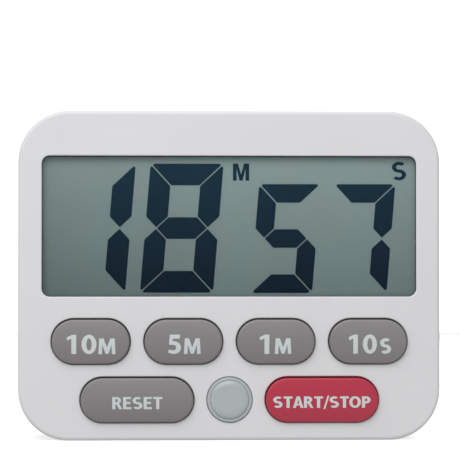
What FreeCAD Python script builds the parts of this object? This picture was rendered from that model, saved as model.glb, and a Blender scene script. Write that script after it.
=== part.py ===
"""Bench timer with large digits: a FreeCAD model, in millimetres.

Frame: X across the face to the right, Z up, and the face looks along -Y.
The origin is under the middle of the case, on the surface it stands on.
A "depth" is measured from the rear face of the case towards the face.
"""
import FreeCAD, Part
import math
import os
import re

import Sketcher
from FreeCAD import Vector

SIZES = [
    # the two halves of the case
    ("case_width", 95.0),
    ("case_height", 74.2),
    ("case_depth", 24.0),
    ("corner_radius", 11.5),
    ("wall", 2.0),
    ("split_depth", 12.5),
    ("front_edge_radius", 0.9),
    ("rear_edge_radius", 1.2),
    ("opening_edge_radius", 0.25),
    ("seam_chamfer", 0.25),
    ("lip_thickness", 0.8),
    ("lip_height", 1.0),
    ("fit_gap", 0.1),
    # the window and the display behind it
    ("window_width", 84.4),
    ("window_height", 31.75),
    ("window_radius", 1.8),
    ("window_centre", 48.17),
    ("window_overlap", 1.2),
    ("window_thickness", 1.0),
    ("glass_margin", 1.0),
    ("glass_thickness", 0.9),
    ("film_thickness", 0.25),
    ("contact_ledge", 2.2),
    ("strip_length", 80.0),
    ("holder_wall", 0.8),
    ("holder_sill", 0.5),
    ("holder_ledge", 1.0),
    # the keys
    ("key_hole_length", 17.95),
    ("long_key_hole_length", 25.8),
    ("key_hole_height", 10.4),
    ("key_gap", 0.25),
    ("key_hang", 0.1),
    ("key_pitch", 20.78),
    ("upper_row", 22.28),
    ("lower_row", 9.18),
    ("key_proud", 1.2),
    ("crown_radius", 30.0),
    ("key_edge_radius", 0.45),
    ("key_flange", 0.6),
    ("flange_thickness", 1.0),
    ("flange_gap", 0.05),
    ("key_travel", 0.9),
    ("key_shell", 1.2),
    ("plunger_room", 0.75),
    ("dome_radius", 4.2),
    ("dome_height", 1.3),
    ("dome_wall", 0.4),
    ("pill_radius", 1.8),
    ("pill_thickness", 0.3),
    ("mat_thickness", 0.8),
    ("mat_width", 83.2),
    ("mat_foot_width", 68.2),
    ("mat_top", 27.8),
    ("mat_step", 14.0),
    ("mat_bottom", 3.8),
    # the lamp in the lower row
    ("lamp_hole_radius", 5.16),
    ("lamp_gap", 0.12),
    ("lamp_proud", 0.45),
    ("lamp_edge_radius", 0.4),
    ("led_radius", 1.5),
    ("led_height", 2.2),
    # the circuit board and what it carries
    ("board_gap", 5.2),
    ("board_thickness", 1.2),
    ("board_margin", 0.1),
    ("board_bottom", 3.6),
    ("board_corner_radius", 9.0),
    ("board_notch_radius", 3.2),
    ("board_screw_across", 37.0),
    ("board_screw_height", 5.6),
    ("board_screw_radius", 0.75),
    ("board_screw_length", 4.2),
    ("board_screw_head_radius", 1.6),
    ("board_screw_head", 1.0),
    ("board_boss_radius", 2.2),
    ("chip_radius", 5.0),
    ("chip_height", 1.2),
    ("chip_across", 9.0),
    ("crystal_radius", 1.0),
    ("crystal_length", 6.0),
    ("crystal_across", -8.0),
    ("small_part_length", 1.6),
    ("small_part_width", 0.8),
    ("small_part_height", 0.6),
    ("small_part_pitch", 4.0),
    # the case screws
    ("screw_radius", 1.0),
    ("screw_length", 13.3),
    ("screw_head_radius", 1.9),
    ("screw_head", 1.3),
    ("screw_seat_depth", 3.7),
    ("screw_clearance", 0.15),
    ("rear_boss_radius", 2.9),
    ("front_boss_radius", 2.4),
    ("upper_boss_radius", 2.8),
    ("lower_screw_across", 40.5),
    ("lower_screw_height", 9.0),
    ("upper_screw_across", 33.0),
    ("upper_screw_drop", 4.7),
    # the battery bay and its door
    ("cell_radius", 5.25),
    ("cell_length", 43.7),
    ("cell_cap_radius", 1.9),
    ("cell_cap_length", 0.8),
    ("cell_pitch", 12.0),
    ("bay_length", 51.0),
    ("bay_bottom", 42.0),
    ("bay_height", 24.0),
    ("bay_wall", 1.2),
    ("bay_clearance", 0.3),
    ("contact_thickness", 0.4),
    ("contact_width", 9.0),
    ("contact_tab_width", 2.0),
    ("spring_turns", 4.0),
    ("spring_radius", 2.6),
    ("spring_wire", 0.3),
    ("door_width", 54.0),
    ("door_bottom", 40.0),
    ("door_plate", 1.4),
    ("door_tongue", 0.8),
    ("door_tongue_reach", 1.0),
    ("door_gap", 0.15),
    ("door_groove_length", 16.0),
    ("door_groove_width", 0.9),
    ("door_groove_pitch", 2.0),
    ("door_groove_depth", 0.45),
    ("door_groove_drop", 11.0),
    ("rail_width", 60.0),
    ("rail_depth", 3.5),
    # the fold-out stand
    ("stand_width", 46.0),
    ("stand_bottom", 8.0),
    ("stand_plate", 2.0),
    ("stand_sink", 0.2),
    ("stand_corner_radius", 3.0),
    ("hinge_height", 34.8),
    ("hinge_depth", 1.5),
    ("hinge_barrel_radius", 1.3),
    ("hinge_pin_radius", 0.9),
    ("hinge_pin_length", 1.6),
    ("hinge_play", 0.05),
    ("stand_gap", 0.3),
    ("stand_recess", 3.0),
    ("stand_floor", 1.2),
    ("stand_rim", 2.7),
    ("finger_notch_radius", 5.0),
    # the magnets
    ("magnet_radius", 6.0),
    ("magnet_thickness", 2.0),
    ("magnet_across", 36.0),
    ("magnet_height", 23.0),
    ("magnet_sink", 0.15),
    ("magnet_cup", 1.25),
    # the buzzer
    ("buzzer_across", -37.5),
    ("buzzer_height", 52.0),
    ("buzzer_radius", 6.5),
    ("buzzer_thickness", 0.3),
    ("ceramic_radius", 4.5),
    ("ceramic_thickness", 0.2),
    ("buzzer_stand_off", 1.6),
    ("buzzer_rim", 0.7),
    ("sound_hole_radius", 0.7),
    ("sound_hole_circle", 3.2),
    ("buzzer_spring_radius", 1.1),
    ("buzzer_spring_turns", 7.0),
    ("buzzer_spring_wire", 0.2),
    # the alarm mode slide
    ("slide_across", 37.0),
    ("slide_height", 52.0),
    ("slide_travel", 4.0),
    ("slide_cap_width", 6.2),
    ("slide_cap_height", 5.2),
    ("slide_cap", 0.8),
    ("slide_recess", 1.0),
    ("slide_gap", 0.2),
    ("slide_stem_width", 2.0),
    ("slide_stem_height", 3.6),
    ("slide_collar_width", 4.4),
    ("slide_collar_height", 6.4),
    ("slide_collar", 0.8),
    ("slide_groove", 0.3),
    ("switch_width", 4.4),
    ("switch_height", 9.0),
    ("switch_depth", 3.6),
    ("lever_size", 1.5),
    ("lever_length", 1.8),
    ("fork_grip", 1.4),
    ("fork_play", 0.05),
]

# Places worked out from the sizes, as formulas of the sheet's names.
REAR = "(case_depth + key_proud)/2"
FRONT_WALL = "(case_depth - wall)"
BOARD_FRONT = "(case_depth - wall - board_gap)"
BOARD_REAR = f"({BOARD_FRONT} - board_thickness)"
INNER_WIDTH = "(case_width - 2*wall)"
INNER_HEIGHT = "(case_height - 2*wall)"
INNER_RADIUS = "(corner_radius - wall)"
MIDDLE = "(case_height/2)"

POLARISER_FRONT = f"({FRONT_WALL} - fit_gap)"
FRONT_GLASS_FRONT = f"({POLARISER_FRONT} - film_thickness)"
REAR_GLASS_FRONT = f"({FRONT_GLASS_FRONT} - glass_thickness)"
REFLECTOR_FRONT = f"({REAR_GLASS_FRONT} - glass_thickness)"
LEDGE = f"({REFLECTOR_FRONT} - film_thickness)"
GLASS_WIDTH = "(window_width + 2*glass_margin)"
GLASS_TOP = "(window_centre + window_height/2 + glass_margin)"
REAR_GLASS_BOTTOM = "(window_centre - window_height/2 - glass_margin)"
FRONT_GLASS_BOTTOM = f"({REAR_GLASS_BOTTOM} - contact_ledge)"
HOLDER_WIDTH = f"({GLASS_WIDTH} + 2*fit_gap + 2*holder_wall)"
HOLDER_TOP = f"({GLASS_TOP} + fit_gap + holder_wall)"
HOLDER_BOTTOM = f"({FRONT_GLASS_BOTTOM} - fit_gap - holder_sill)"

FLANGE_FRONT = f"({FRONT_WALL} - flange_gap)"
FLANGE_REAR = f"({FLANGE_FRONT} - flange_thickness)"
MAT_FRONT = f"({BOARD_FRONT} + mat_thickness)"
PILL_REAR = f"({BOARD_FRONT} + key_travel + flange_gap)"
PLUNGER_REAR = f"({PILL_REAR} + pill_thickness)"
PLUNGER_FRONT = "(case_depth - key_shell/2)"
PLUNGER_RADIUS = "(key_hole_height/2 - key_gap - key_shell - plunger_room)"

UPPER_SCREW_HEIGHT = "(case_height - upper_screw_drop)"
SCREW_TIP = "(screw_seat_depth + screw_length)"
CELL_DEPTH = "(door_plate + door_tongue + bay_clearance + cell_radius)"
BAY_FLOOR = f"({CELL_DEPTH} + cell_radius + bay_clearance/2)"
BAY_TOP = "(bay_bottom + bay_height)"
BAY_END = "(bay_length/2)"
CONTACT_FACE = f"({BAY_END} - contact_thickness)"
UPPER_CELL = "(bay_bottom + bay_height/2 + cell_pitch/2)"
LOWER_CELL = "(bay_bottom + bay_height/2 - cell_pitch/2)"
DOOR_BACK = "(door_plate + door_tongue)"
STAND_TOP = "(hinge_height + hinge_barrel_radius + stand_gap)"
PLATE_REAR = "stand_sink"
PLATE_FRONT = "(stand_sink + stand_plate)"
BUZZER_REAR = "(wall + buzzer_stand_off)"
CERAMIC_REAR = f"({BUZZER_REAR} + buzzer_thickness)"
KNOB_HEIGHT = "(slide_height - slide_travel/2)"
LEVER_REAR = f"({BOARD_REAR} - switch_depth - lever_length)"
STEM_FRONT = f"({LEVER_REAR} + fork_grip)"

KEYS = [
    ("ten_minute", "-1.5*key_pitch", "upper_row", "key_hole_length"),
    ("five_minute", "-0.5*key_pitch", "upper_row", "key_hole_length"),
    ("one_minute", "0.5*key_pitch", "upper_row", "key_hole_length"),
    ("ten_second", "1.5*key_pitch", "upper_row", "key_hole_length"),
    ("reset", "-key_pitch", "lower_row", "long_key_hole_length"),
    ("start_stop", "key_pitch", "lower_row", "long_key_hole_length"),
]
CASE_SCREWS = [
    ("-lower_screw_across", "lower_screw_height", "front_boss_radius"),
    ("lower_screw_across", "lower_screw_height", "front_boss_radius"),
    ("-upper_screw_across", UPPER_SCREW_HEIGHT, "upper_boss_radius"),
    ("upper_screw_across", UPPER_SCREW_HEIGHT, "upper_boss_radius"),
]
BOTH_SIDES = ("-", "")

doc = FreeCAD.newDocument("BenchTimer")
sheet = doc.addObject("Spreadsheet::Sheet", "Sizes")
for row, (alias, value) in enumerate(SIZES, start=1):
    sheet.set(f"A{row}", alias)
    sheet.set(f"B{row}", str(value))
    sheet.setAlias(f"B{row}", alias)
doc.recompute()

parts = []


# ---- writing formulas ---------------------------------------------------
def formula(text):
    """A formula of the sheet's names, as FreeCAD expressions spell them."""
    return re.sub(r"[a-z_]+", lambda name: "Sizes." + name.group(0), text)


def number(text):
    """The value that a formula has now."""
    return float(sheet.evalExpression(formula(text)))


def bind(thing, **formulas):
    """Tie properties of an object to formulas of the sheet."""
    for name, text in formulas.items():
        thing.setExpression(name, formula(text))


# ---- outlines, each drawn round its sketch's own origin ----------------------
def name_size(sketch, constraint, name, text):
    """Add one dimension to a sketch and tie it to a formula."""
    index = sketch.addConstraint(constraint)
    sketch.renameConstraint(index, name)
    sketch.setExpression("Constraints." + name, formula(text))


def corner_arc(x, y, radius, start, end):
    circle = Part.Circle(Vector(x, y, 0), Vector(0, 0, 1), radius)
    return Part.ArcOfCircle(circle, math.radians(start), math.radians(end))


def chain(sketch, count, kind):
    """Join each of the outline's pieces to the next one."""
    links = [Sketcher.Constraint(kind, i, 2, (i + 1) % count, 1) for i in range(count)]
    sketch.addConstraint(links)


def rounded(width, height, radius):
    """A rectangle with round corners."""
    def draw(sketch):
        w = number(width) / 2
        h = number(height) / 2
        r = number(radius)
        sketch.addGeometry([
            Part.LineSegment(Vector(r - w, -h, 0), Vector(w - r, -h, 0)),
            corner_arc(w - r, r - h, r, -90, 0),
            Part.LineSegment(Vector(w, r - h, 0), Vector(w, h - r, 0)),
            corner_arc(w - r, h - r, r, 0, 90),
            Part.LineSegment(Vector(w - r, h, 0), Vector(r - w, h, 0)),
            corner_arc(r - w, h - r, r, 90, 180),
            Part.LineSegment(Vector(-w, h - r, 0), Vector(-w, r - h, 0)),
            corner_arc(r - w, r - h, r, 180, 270),
        ], False)
        chain(sketch, 8, "Tangent")
        sketch.addConstraint([
            Sketcher.Constraint("Horizontal", 0),
            Sketcher.Constraint("Horizontal", 4),
            Sketcher.Constraint("Vertical", 2),
            Sketcher.Constraint("Vertical", 6),
            Sketcher.Constraint("Equal", 1, 3),
            Sketcher.Constraint("Equal", 1, 5),
            Sketcher.Constraint("Equal", 1, 7),
            Sketcher.Constraint("Symmetric", 0, 1, 4, 1, -1, 1),
        ])
        name_size(sketch, Sketcher.Constraint("DistanceX", 6, 1, 2, 1, 2 * w), "width", width)
        name_size(sketch, Sketcher.Constraint("DistanceY", 0, 1, 4, 1, 2 * h), "height", height)
        name_size(sketch, Sketcher.Constraint("Radius", 1, r), "radius", radius)
    return draw


def box(width, height):
    """A plain rectangle."""
    def draw(sketch):
        w = number(width) / 2
        h = number(height) / 2
        corners = [Vector(-w, -h, 0), Vector(w, -h, 0), Vector(w, h, 0), Vector(-w, h, 0)]
        sides = [Part.LineSegment(corners[i], corners[(i + 1) % 4]) for i in range(4)]
        sketch.addGeometry(sides, False)
        chain(sketch, 4, "Coincident")
        sketch.addConstraint([
            Sketcher.Constraint("Horizontal", 0),
            Sketcher.Constraint("Horizontal", 2),
            Sketcher.Constraint("Vertical", 1),
            Sketcher.Constraint("Vertical", 3),
            Sketcher.Constraint("Symmetric", 0, 1, 2, 1, -1, 1),
        ])
        name_size(sketch, Sketcher.Constraint("DistanceX", 0, 1, 0, 2, 2 * w), "width", width)
        name_size(sketch, Sketcher.Constraint("DistanceY", 1, 1, 1, 2, 2 * h), "height", height)
    return draw


def stadium(length, height):
    """A slot: two straight sides and two half-round ends."""
    def draw(sketch):
        r = number(height) / 2
        w = number(length) / 2 - r
        sketch.addGeometry([
            Part.LineSegment(Vector(-w, -r, 0), Vector(w, -r, 0)),
            corner_arc(w, 0, r, -90, 90),
            Part.LineSegment(Vector(w, r, 0), Vector(-w, r, 0)),
            corner_arc(-w, 0, r, 90, 270),
        ], False)
        chain(sketch, 4, "Tangent")
        sketch.addConstraint([
            Sketcher.Constraint("Horizontal", 0),
            Sketcher.Constraint("Equal", 1, 3),
            Sketcher.Constraint("Symmetric", 1, 3, 3, 3, -1, 1),
        ])
        name_size(sketch, Sketcher.Constraint("Radius", 1, r), "radius", f"({height})/2")
        straight = f"({length}) - ({height})"
        name_size(sketch, Sketcher.Constraint("DistanceX", 0, 1, 0, 2, 2 * w), "straight", straight)
    return draw


def circle(radius):
    """A circle."""
    def draw(sketch):
        r = number(radius)
        sketch.addGeometry(Part.Circle(Vector(0, 0, 0), Vector(0, 0, 1), r), False)
        sketch.addConstraint(Sketcher.Constraint("Coincident", 0, 3, -1, 1))
        name_size(sketch, Sketcher.Constraint("Radius", 0, r), "radius", radius)
    return draw


# ---- features -----------------------------------------------------------
def new_body(name):
    """A sub-part; its label names its file."""
    body = doc.addObject("PartDesign::Body", name)
    body.Label = name
    body.AllowCompound = True
    parts.append(body)
    return body


def origin_plane(body, role):
    return next(item for item in body.Origin.OriginFeatures if item.Role == role)


def facing_sketch(body, name, draw, across, height, depth):
    """A sketch parallel to the face, seen from the front."""
    sketch = body.newObject("Sketcher::SketchObject", name + "_sketch")
    sketch.AttachmentSupport = [(origin_plane(body, "XZ_Plane"), "")]
    sketch.MapMode = "FlatFace"
    sketch.setExpression("AttachmentOffset.Base.x", formula(across))
    sketch.setExpression("AttachmentOffset.Base.y", formula(height))
    sketch.setExpression("AttachmentOffset.Base.z", formula(f"({depth}) - {REAR}"))
    draw(sketch)
    return sketch


def side_sketch(body, name, draw, across, height, depth):
    """A sketch square to the X axis, at the distance across."""
    sketch = body.newObject("Sketcher::SketchObject", name + "_sketch")
    sketch.AttachmentSupport = [(origin_plane(body, "YZ_Plane"), "")]
    sketch.MapMode = "FlatFace"
    sketch.setExpression("AttachmentOffset.Base.x", formula(f"{REAR} - ({depth})"))
    sketch.setExpression("AttachmentOffset.Base.y", formula(height))
    sketch.setExpression("AttachmentOffset.Base.z", formula(across))
    draw(sketch)
    return sketch


def add(body, name, draw, across, height, rear, front):
    """Material from one depth to another."""
    pad = body.newObject("PartDesign::Pad", name)
    pad.Profile = facing_sketch(body, name, draw, across, height, rear)
    bind(pad, Length=f"({front}) - ({rear})")
    return pad


def cut(body, name, draw, across, height, rear, front):
    """A hole or recess from one depth to another."""
    pocket = body.newObject("PartDesign::Pocket", name)
    pocket.Profile = facing_sketch(body, name, draw, across, height, front)
    bind(pocket, Length=f"({front}) - ({rear})")
    return pocket


def add_across(body, name, draw, left, right, height, depth):
    """Material that runs along X, from left to right."""
    pad = body.newObject("PartDesign::Pad", name)
    pad.Profile = side_sketch(body, name, draw, left, height, depth)
    bind(pad, Length=f"({right}) - ({left})")
    return pad


def cut_across(body, name, draw, left, right, height, depth):
    """A hole that runs along X, from left to right."""
    pocket = body.newObject("PartDesign::Pocket", name)
    pocket.Profile = side_sketch(body, name, draw, right, height, depth)
    bind(pocket, Length=f"({right}) - ({left})")
    return pocket


def edges_at(shape, depth, keep=lambda edge: True):
    """The names of the edges that lie flat at one depth."""
    level = number(REAR) - number(depth)
    names = []
    for index, edge in enumerate(shape.Edges, start=1):
        bounds = edge.BoundBox
        flat = max(abs(bounds.YMin - level), abs(bounds.YMax - level)) < 1e-4
        if flat and keep(edge):
            names.append(f"Edge{index}")
    return names


def dress(body, name, kind, depth, size, keep=lambda edge: True):
    """Round or chamfer the edges at one depth."""
    doc.recompute()
    base = body.Tip
    feature = body.newObject("PartDesign::" + kind, name)
    feature.Base = (base, edges_at(base.Shape, depth, keep))
    bind(feature, **{"Radius" if kind == "Fillet" else "Size": size})
    return feature


def on_outline(edge):
    """True for an edge that runs round the outside of the case."""
    half = number("case_width") / 2 - number("corner_radius") - 0.01
    middle = number(MIDDLE)
    tall = number(MIDDLE) - number("corner_radius") - 0.01
    spot = edge.valueAt((edge.FirstParameter + edge.LastParameter) / 2)
    return abs(spot.x) > half + 0.7 * number("corner_radius") or abs(spot.z - middle) > tall + (
        0.7 * number("corner_radius"))


def span(bottom, top):
    """The middle and the size of what lies between two values."""
    return f"(({bottom}) + ({top}))/2", f"(({top}) - ({bottom}))"


# ---- the case -----------------------------------------------------------
def make_front_case():
    body = new_body("front_case")
    outline = rounded("case_width", "case_height", "corner_radius")
    hollow = rounded(INNER_WIDTH, INNER_HEIGHT, INNER_RADIUS)
    add(body, "front_shell", outline, "0", MIDDLE, "split_depth", "case_depth")
    cut(body, "front_hollow", hollow, "0", MIDDLE, "split_depth", FRONT_WALL)
    dress(body, "front_edge", "Fillet", "case_depth", "front_edge_radius")
    dress(body, "front_seam", "Chamfer", "split_depth", "seam_chamfer", on_outline)
    glazing = rounded("window_width", "window_height", "window_radius")
    cut(body, "window_hole", glazing, "0", "window_centre", FRONT_WALL, "case_depth")
    for name, across, height, length in KEYS:
        hole = stadium(length, "key_hole_height")
        cut(body, name + "_hole", hole, across, height, FRONT_WALL, "case_depth")
    hole = circle("lamp_hole_radius")
    cut(body, "lamp_hole", hole, "0", "lower_row", FRONT_WALL, "case_depth")
    dress(body, "hole_edges", "Fillet", "case_depth", "opening_edge_radius",
          lambda edge: not on_outline(edge))
    seat = rounded("window_width + 2*window_overlap + 2*fit_gap",
                   "window_height + 2*window_overlap + 2*fit_gap",
                   "window_radius + window_overlap + fit_gap")
    cut(body, "window_seat", seat, "0", "window_centre", FRONT_WALL,
        f"{FRONT_WALL} + window_thickness")
    for index, (across, height, radius) in enumerate(CASE_SCREWS):
        name = f"case_boss_{index}"
        add(body, name, circle(radius), across, height, "split_depth", FRONT_WALL)
        cut(body, name + "_bore", circle("screw_radius"), across, height, "split_depth",
            f"{SCREW_TIP} + fit_gap")
    for side in BOTH_SIDES:
        name = "board_boss_" + ("left" if side else "right")
        across = side + "board_screw_across"
        add(body, name, circle("board_boss_radius"), across, "board_screw_height",
            BOARD_FRONT, FRONT_WALL)
        cut(body, name + "_bore", circle("board_screw_radius"), across, "board_screw_height",
            BOARD_FRONT, f"{BOARD_REAR} + board_screw_length + fit_gap")


def make_rear_case():
    body = new_body("rear_case")
    outline = rounded("case_width", "case_height", "corner_radius")
    hollow = rounded(INNER_WIDTH, INNER_HEIGHT, INNER_RADIUS)
    add(body, "rear_shell", outline, "0", MIDDLE, "0", "split_depth")
    cut(body, "rear_hollow", hollow, "0", MIDDLE, "wall", "split_depth")
    dress(body, "rear_edge", "Fillet", "0", "rear_edge_radius")
    dress(body, "rear_seam", "Chamfer", "split_depth", "seam_chamfer", on_outline)
    # the lip stands inside the front half's wall, on a shelf of its own
    shelf = rounded(INNER_WIDTH, INNER_HEIGHT, INNER_RADIUS)
    lip = rounded(f"{INNER_WIDTH} - 2*fit_gap", f"{INNER_HEIGHT} - 2*fit_gap",
                  f"{INNER_RADIUS} - fit_gap")
    inside = rounded(f"{INNER_WIDTH} - 2*lip_thickness - 2*fit_gap",
                     f"{INNER_HEIGHT} - 2*lip_thickness - 2*fit_gap",
                     f"{INNER_RADIUS} - lip_thickness - fit_gap")
    add(body, "lip_shelf", shelf, "0", MIDDLE, "split_depth - 2*lip_height", "split_depth")
    add(body, "lip", lip, "0", MIDDLE, "split_depth", "split_depth + lip_height")
    cut(body, "lip_inside", inside, "0", MIDDLE, "split_depth - 2*lip_height",
        "split_depth + lip_height")
    for index, (across, height, radius) in enumerate(CASE_SCREWS[2:]):
        cut(body, f"lip_relief_{index}", circle(f"{radius} + fit_gap"), across, height,
            "split_depth", "split_depth + lip_height")
    # the battery bay, open to the rear, and the rails beside it
    middle, tall = span("bay_bottom - bay_wall", f"{BAY_TOP} + bay_wall")
    walls = box("bay_length + 2*bay_wall", tall)
    add(body, "bay", walls, "0", middle, "wall/2", f"{BAY_FLOOR} + bay_wall")
    middle, tall = span("door_bottom - bay_wall", "case_height - wall/2")
    add(body, "rails", box("rail_width", tall), "0", middle, "wall/2", "rail_depth")
    middle, tall = span("bay_bottom", BAY_TOP)
    cut(body, "bay_hollow", box("bay_length", tall), "0", middle, "0", BAY_FLOOR)
    # the door's way in: a slot for its tongues under a narrower opening
    middle, tall = span("door_bottom - door_gap", "case_height + wall")
    cut(body, "door_slot", box("door_width + 2*door_tongue_reach + 2*door_gap", tall),
        "0", middle, "door_plate - door_gap", f"{DOOR_BACK} + door_gap")
    cut(body, "door_opening", box("door_width + 2*door_gap", tall), "0", middle,
        "0", f"{DOOR_BACK} + door_gap")
    for name, height in (("upper", UPPER_CELL), ("lower", LOWER_CELL)):
        slot = box("2*contact_thickness", "contact_tab_width + 2*fit_gap")
        cut(body, name + "_tab_slot", slot, f"{BAY_END} - contact_thickness", height,
            BAY_FLOOR, f"{BAY_FLOOR} + bay_wall")
    # the stand's recess, its finger notch and its hinge sockets
    middle, tall = span("stand_bottom - stand_gap - stand_rim/2", f"{STAND_TOP} + stand_rim/2")
    add(body, "stand_block", box("stand_width + 2*stand_gap + 2*stand_rim", tall), "0",
        middle, "wall/2", "stand_recess + stand_floor")
    middle, tall = span("stand_bottom - stand_gap", STAND_TOP)
    cut(body, "stand_recess_hole", box("stand_width + 2*stand_gap", tall), "0", middle,
        "0", "stand_recess")
    cut(body, "finger_notch", circle("finger_notch_radius"), "0",
        "stand_bottom + stand_gap", "0", "wall - stand_gap")
    reach = "(stand_width/2 + hinge_pin_length + hinge_play)"
    cut_across(body, "hinge_sockets", circle("hinge_pin_radius + hinge_play"), f"-{reach}",
               reach, "hinge_height", "hinge_depth")
    # cups for the magnets
    for side in BOTH_SIDES:
        name = "magnet_cup_" + ("left" if side else "right")
        across = side + "magnet_across"
        floor = "magnet_sink + magnet_thickness"
        add(body, name, circle("magnet_radius + fit_gap + magnet_cup"), across,
            "magnet_height", "wall/2", f"{floor} + magnet_cup")
        cut(body, name + "_bore", circle("magnet_radius + fit_gap"), across, "magnet_height",
            "0", floor)
    # the buzzer's seat and its sound holes
    add(body, "buzzer_seat", circle("buzzer_radius + fit_gap + buzzer_rim"), "buzzer_across",
        "buzzer_height", "wall/2", f"{CERAMIC_REAR} + buzzer_thickness")
    cut(body, "buzzer_nest", circle("buzzer_radius + fit_gap"), "buzzer_across",
        "buzzer_height", BUZZER_REAR, f"{CERAMIC_REAR} + buzzer_thickness")
    cut(body, "buzzer_hollow", circle("buzzer_radius - buzzer_rim"), "buzzer_across",
        "buzzer_height", "wall", BUZZER_REAR)
    for index in range(6):
        x = round(math.cos(math.radians(60 * index)), 6)
        z = round(math.sin(math.radians(60 * index)), 6)
        cut(body, f"sound_hole_{index}", circle("sound_hole_radius"),
            f"buzzer_across + {x}*sound_hole_circle", f"buzzer_height + {z}*sound_hole_circle",
            "0", "wall")
    cut(body, "sound_hole_middle", circle("sound_hole_radius"), "buzzer_across",
        "buzzer_height", "0", "wall")
    # the mode slide's recess and slot
    cut(body, "slide_recess_hole", box("slide_cap_width + 2*slide_gap",
                                       "slide_cap_height + slide_travel + 2*slide_gap"),
        "slide_across", "slide_height", "0", "slide_recess")
    cut(body, "slide_slot", box("slide_stem_width + slide_gap",
                                "slide_stem_height + slide_travel + slide_gap"),
        "slide_across", "slide_height", "slide_recess", "wall")
    for index, (across, height, radius) in enumerate(CASE_SCREWS):
        name = f"screw_post_{index}"
        add(body, name, circle("rear_boss_radius"), across, height, "wall/2", "split_depth")
        cut(body, name + "_bore", circle("screw_radius + screw_clearance"), across, height,
            "0", "split_depth")
        cut(body, name + "_head", circle("screw_head_radius + screw_clearance"), across,
            height, "0", "screw_seat_depth")


def make_case_screws():
    body = new_body("case_screws")
    for index, (across, height, radius) in enumerate(CASE_SCREWS):
        add(body, f"head_{index}", circle("screw_head_radius"), across, height,
            "screw_seat_depth - screw_head", "screw_seat_depth")
        add(body, f"shank_{index}", circle("screw_radius"), across, height,
            "screw_seat_depth", SCREW_TIP)
        cut(body, f"slot_{index}_a", box("1.3*screw_radius", "0.4*screw_radius"), across,
            height, "screw_seat_depth - screw_head", "screw_seat_depth - screw_head/2")
        cut(body, f"slot_{index}_b", box("0.4*screw_radius", "1.3*screw_radius"), across,
            height, "screw_seat_depth - screw_head", "screw_seat_depth - screw_head/2")


def make_window():
    body = new_body("display_window")
    sheet_outline = rounded("window_width + 2*window_overlap",
                            "window_height + 2*window_overlap", "window_radius + window_overlap")
    add(body, "window_sheet", sheet_outline, "0", "window_centre", FRONT_WALL,
        f"{FRONT_WALL} + window_thickness")


def make_lamp_lens():
    body = new_body("lamp_lens")
    add(body, "lens_flange", circle("lamp_hole_radius + key_flange"), "0", "lower_row",
        f"{FRONT_WALL} - flange_thickness", FRONT_WALL)
    add(body, "lens_barrel", circle("lamp_hole_radius - lamp_gap"), "0", "lower_row",
        f"{FRONT_WALL} - flange_thickness", "case_depth + lamp_proud")
    cut(body, "lens_hollow", circle("lamp_hole_radius - lamp_gap - key_shell"), "0",
        "lower_row", f"{FRONT_WALL} - flange_thickness", "case_depth - key_shell/2")
    dress(body, "lens_edge", "Fillet", "case_depth + lamp_proud", "lamp_edge_radius")


# ---- the keys -----------------------------------------------------------
def crown_cut(sketch):
    """All that lies outside a large cylinder along X."""
    r = number("crown_radius")
    sketch.addGeometry(Part.Circle(Vector(0, 0, 0), Vector(0, 0, 1), r), False)
    sketch.addGeometry(Part.Circle(Vector(0, 0, 0), Vector(0, 0, 1), 1.2 * r), False)
    sketch.addConstraint([
        Sketcher.Constraint("Coincident", 0, 3, -1, 1),
        Sketcher.Constraint("Coincident", 1, 3, -1, 1),
    ])
    name_size(sketch, Sketcher.Constraint("Radius", 0, r), "inner", "crown_radius")
    name_size(sketch, Sketcher.Constraint("Radius", 1, 1.2 * r), "outer", "1.2*crown_radius")


def make_key(name, across, row, length):
    """A key, which hangs a little low in its hole, with its plunger and its contact."""
    height = f"({row} - key_hang)"
    body = new_body(name + "_key")
    top = "case_depth + key_proud"
    cap = stadium(f"{length} - 2*key_gap", "key_hole_height - 2*key_gap")
    flange = stadium(f"{length} + 2*key_flange", "key_hole_height + 2*key_flange")
    hollow = stadium(f"{length} - 2*key_gap - 2*key_shell",
                     "key_hole_height - 2*key_gap - 2*key_shell")
    add(body, "cap", cap, across, height, FLANGE_REAR, top)
    crown = body.newObject("PartDesign::Pocket", "crown")
    half = f"({length})/2"
    crown.Profile = side_sketch(body, "crown", crown_cut, f"({across}) + {half}", height,
                                f"{top} - crown_radius")
    bind(crown, Length=length)
    doc.recompute()
    rim = body.newObject("PartDesign::Fillet", "rim")
    rim.Base = (crown, rim_edges(crown.Shape))
    bind(rim, Radius="key_edge_radius")
    add(body, "flange", flange, across, height, FLANGE_REAR, FLANGE_FRONT)
    cut(body, "hollow", hollow, across, height, FLANGE_REAR, PLUNGER_FRONT)

    plunger = new_body(name + "_plunger")
    add(plunger, "post", circle(PLUNGER_RADIUS), across, row, PLUNGER_REAR,
        PLUNGER_FRONT)

    pill = new_body(name + "_contact")
    add(pill, "pill", circle("pill_radius"), across, row, PILL_REAR, PLUNGER_REAR)


def rim_edges(shape):
    """The names of the edges round the crowned top of a key."""
    base = number(REAR) - number("case_depth")
    names = []
    for index, edge in enumerate(shape.Edges, start=1):
        if edge.BoundBox.YMax < base - 0.01:
            names.append(f"Edge{index}")
    return names


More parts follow.
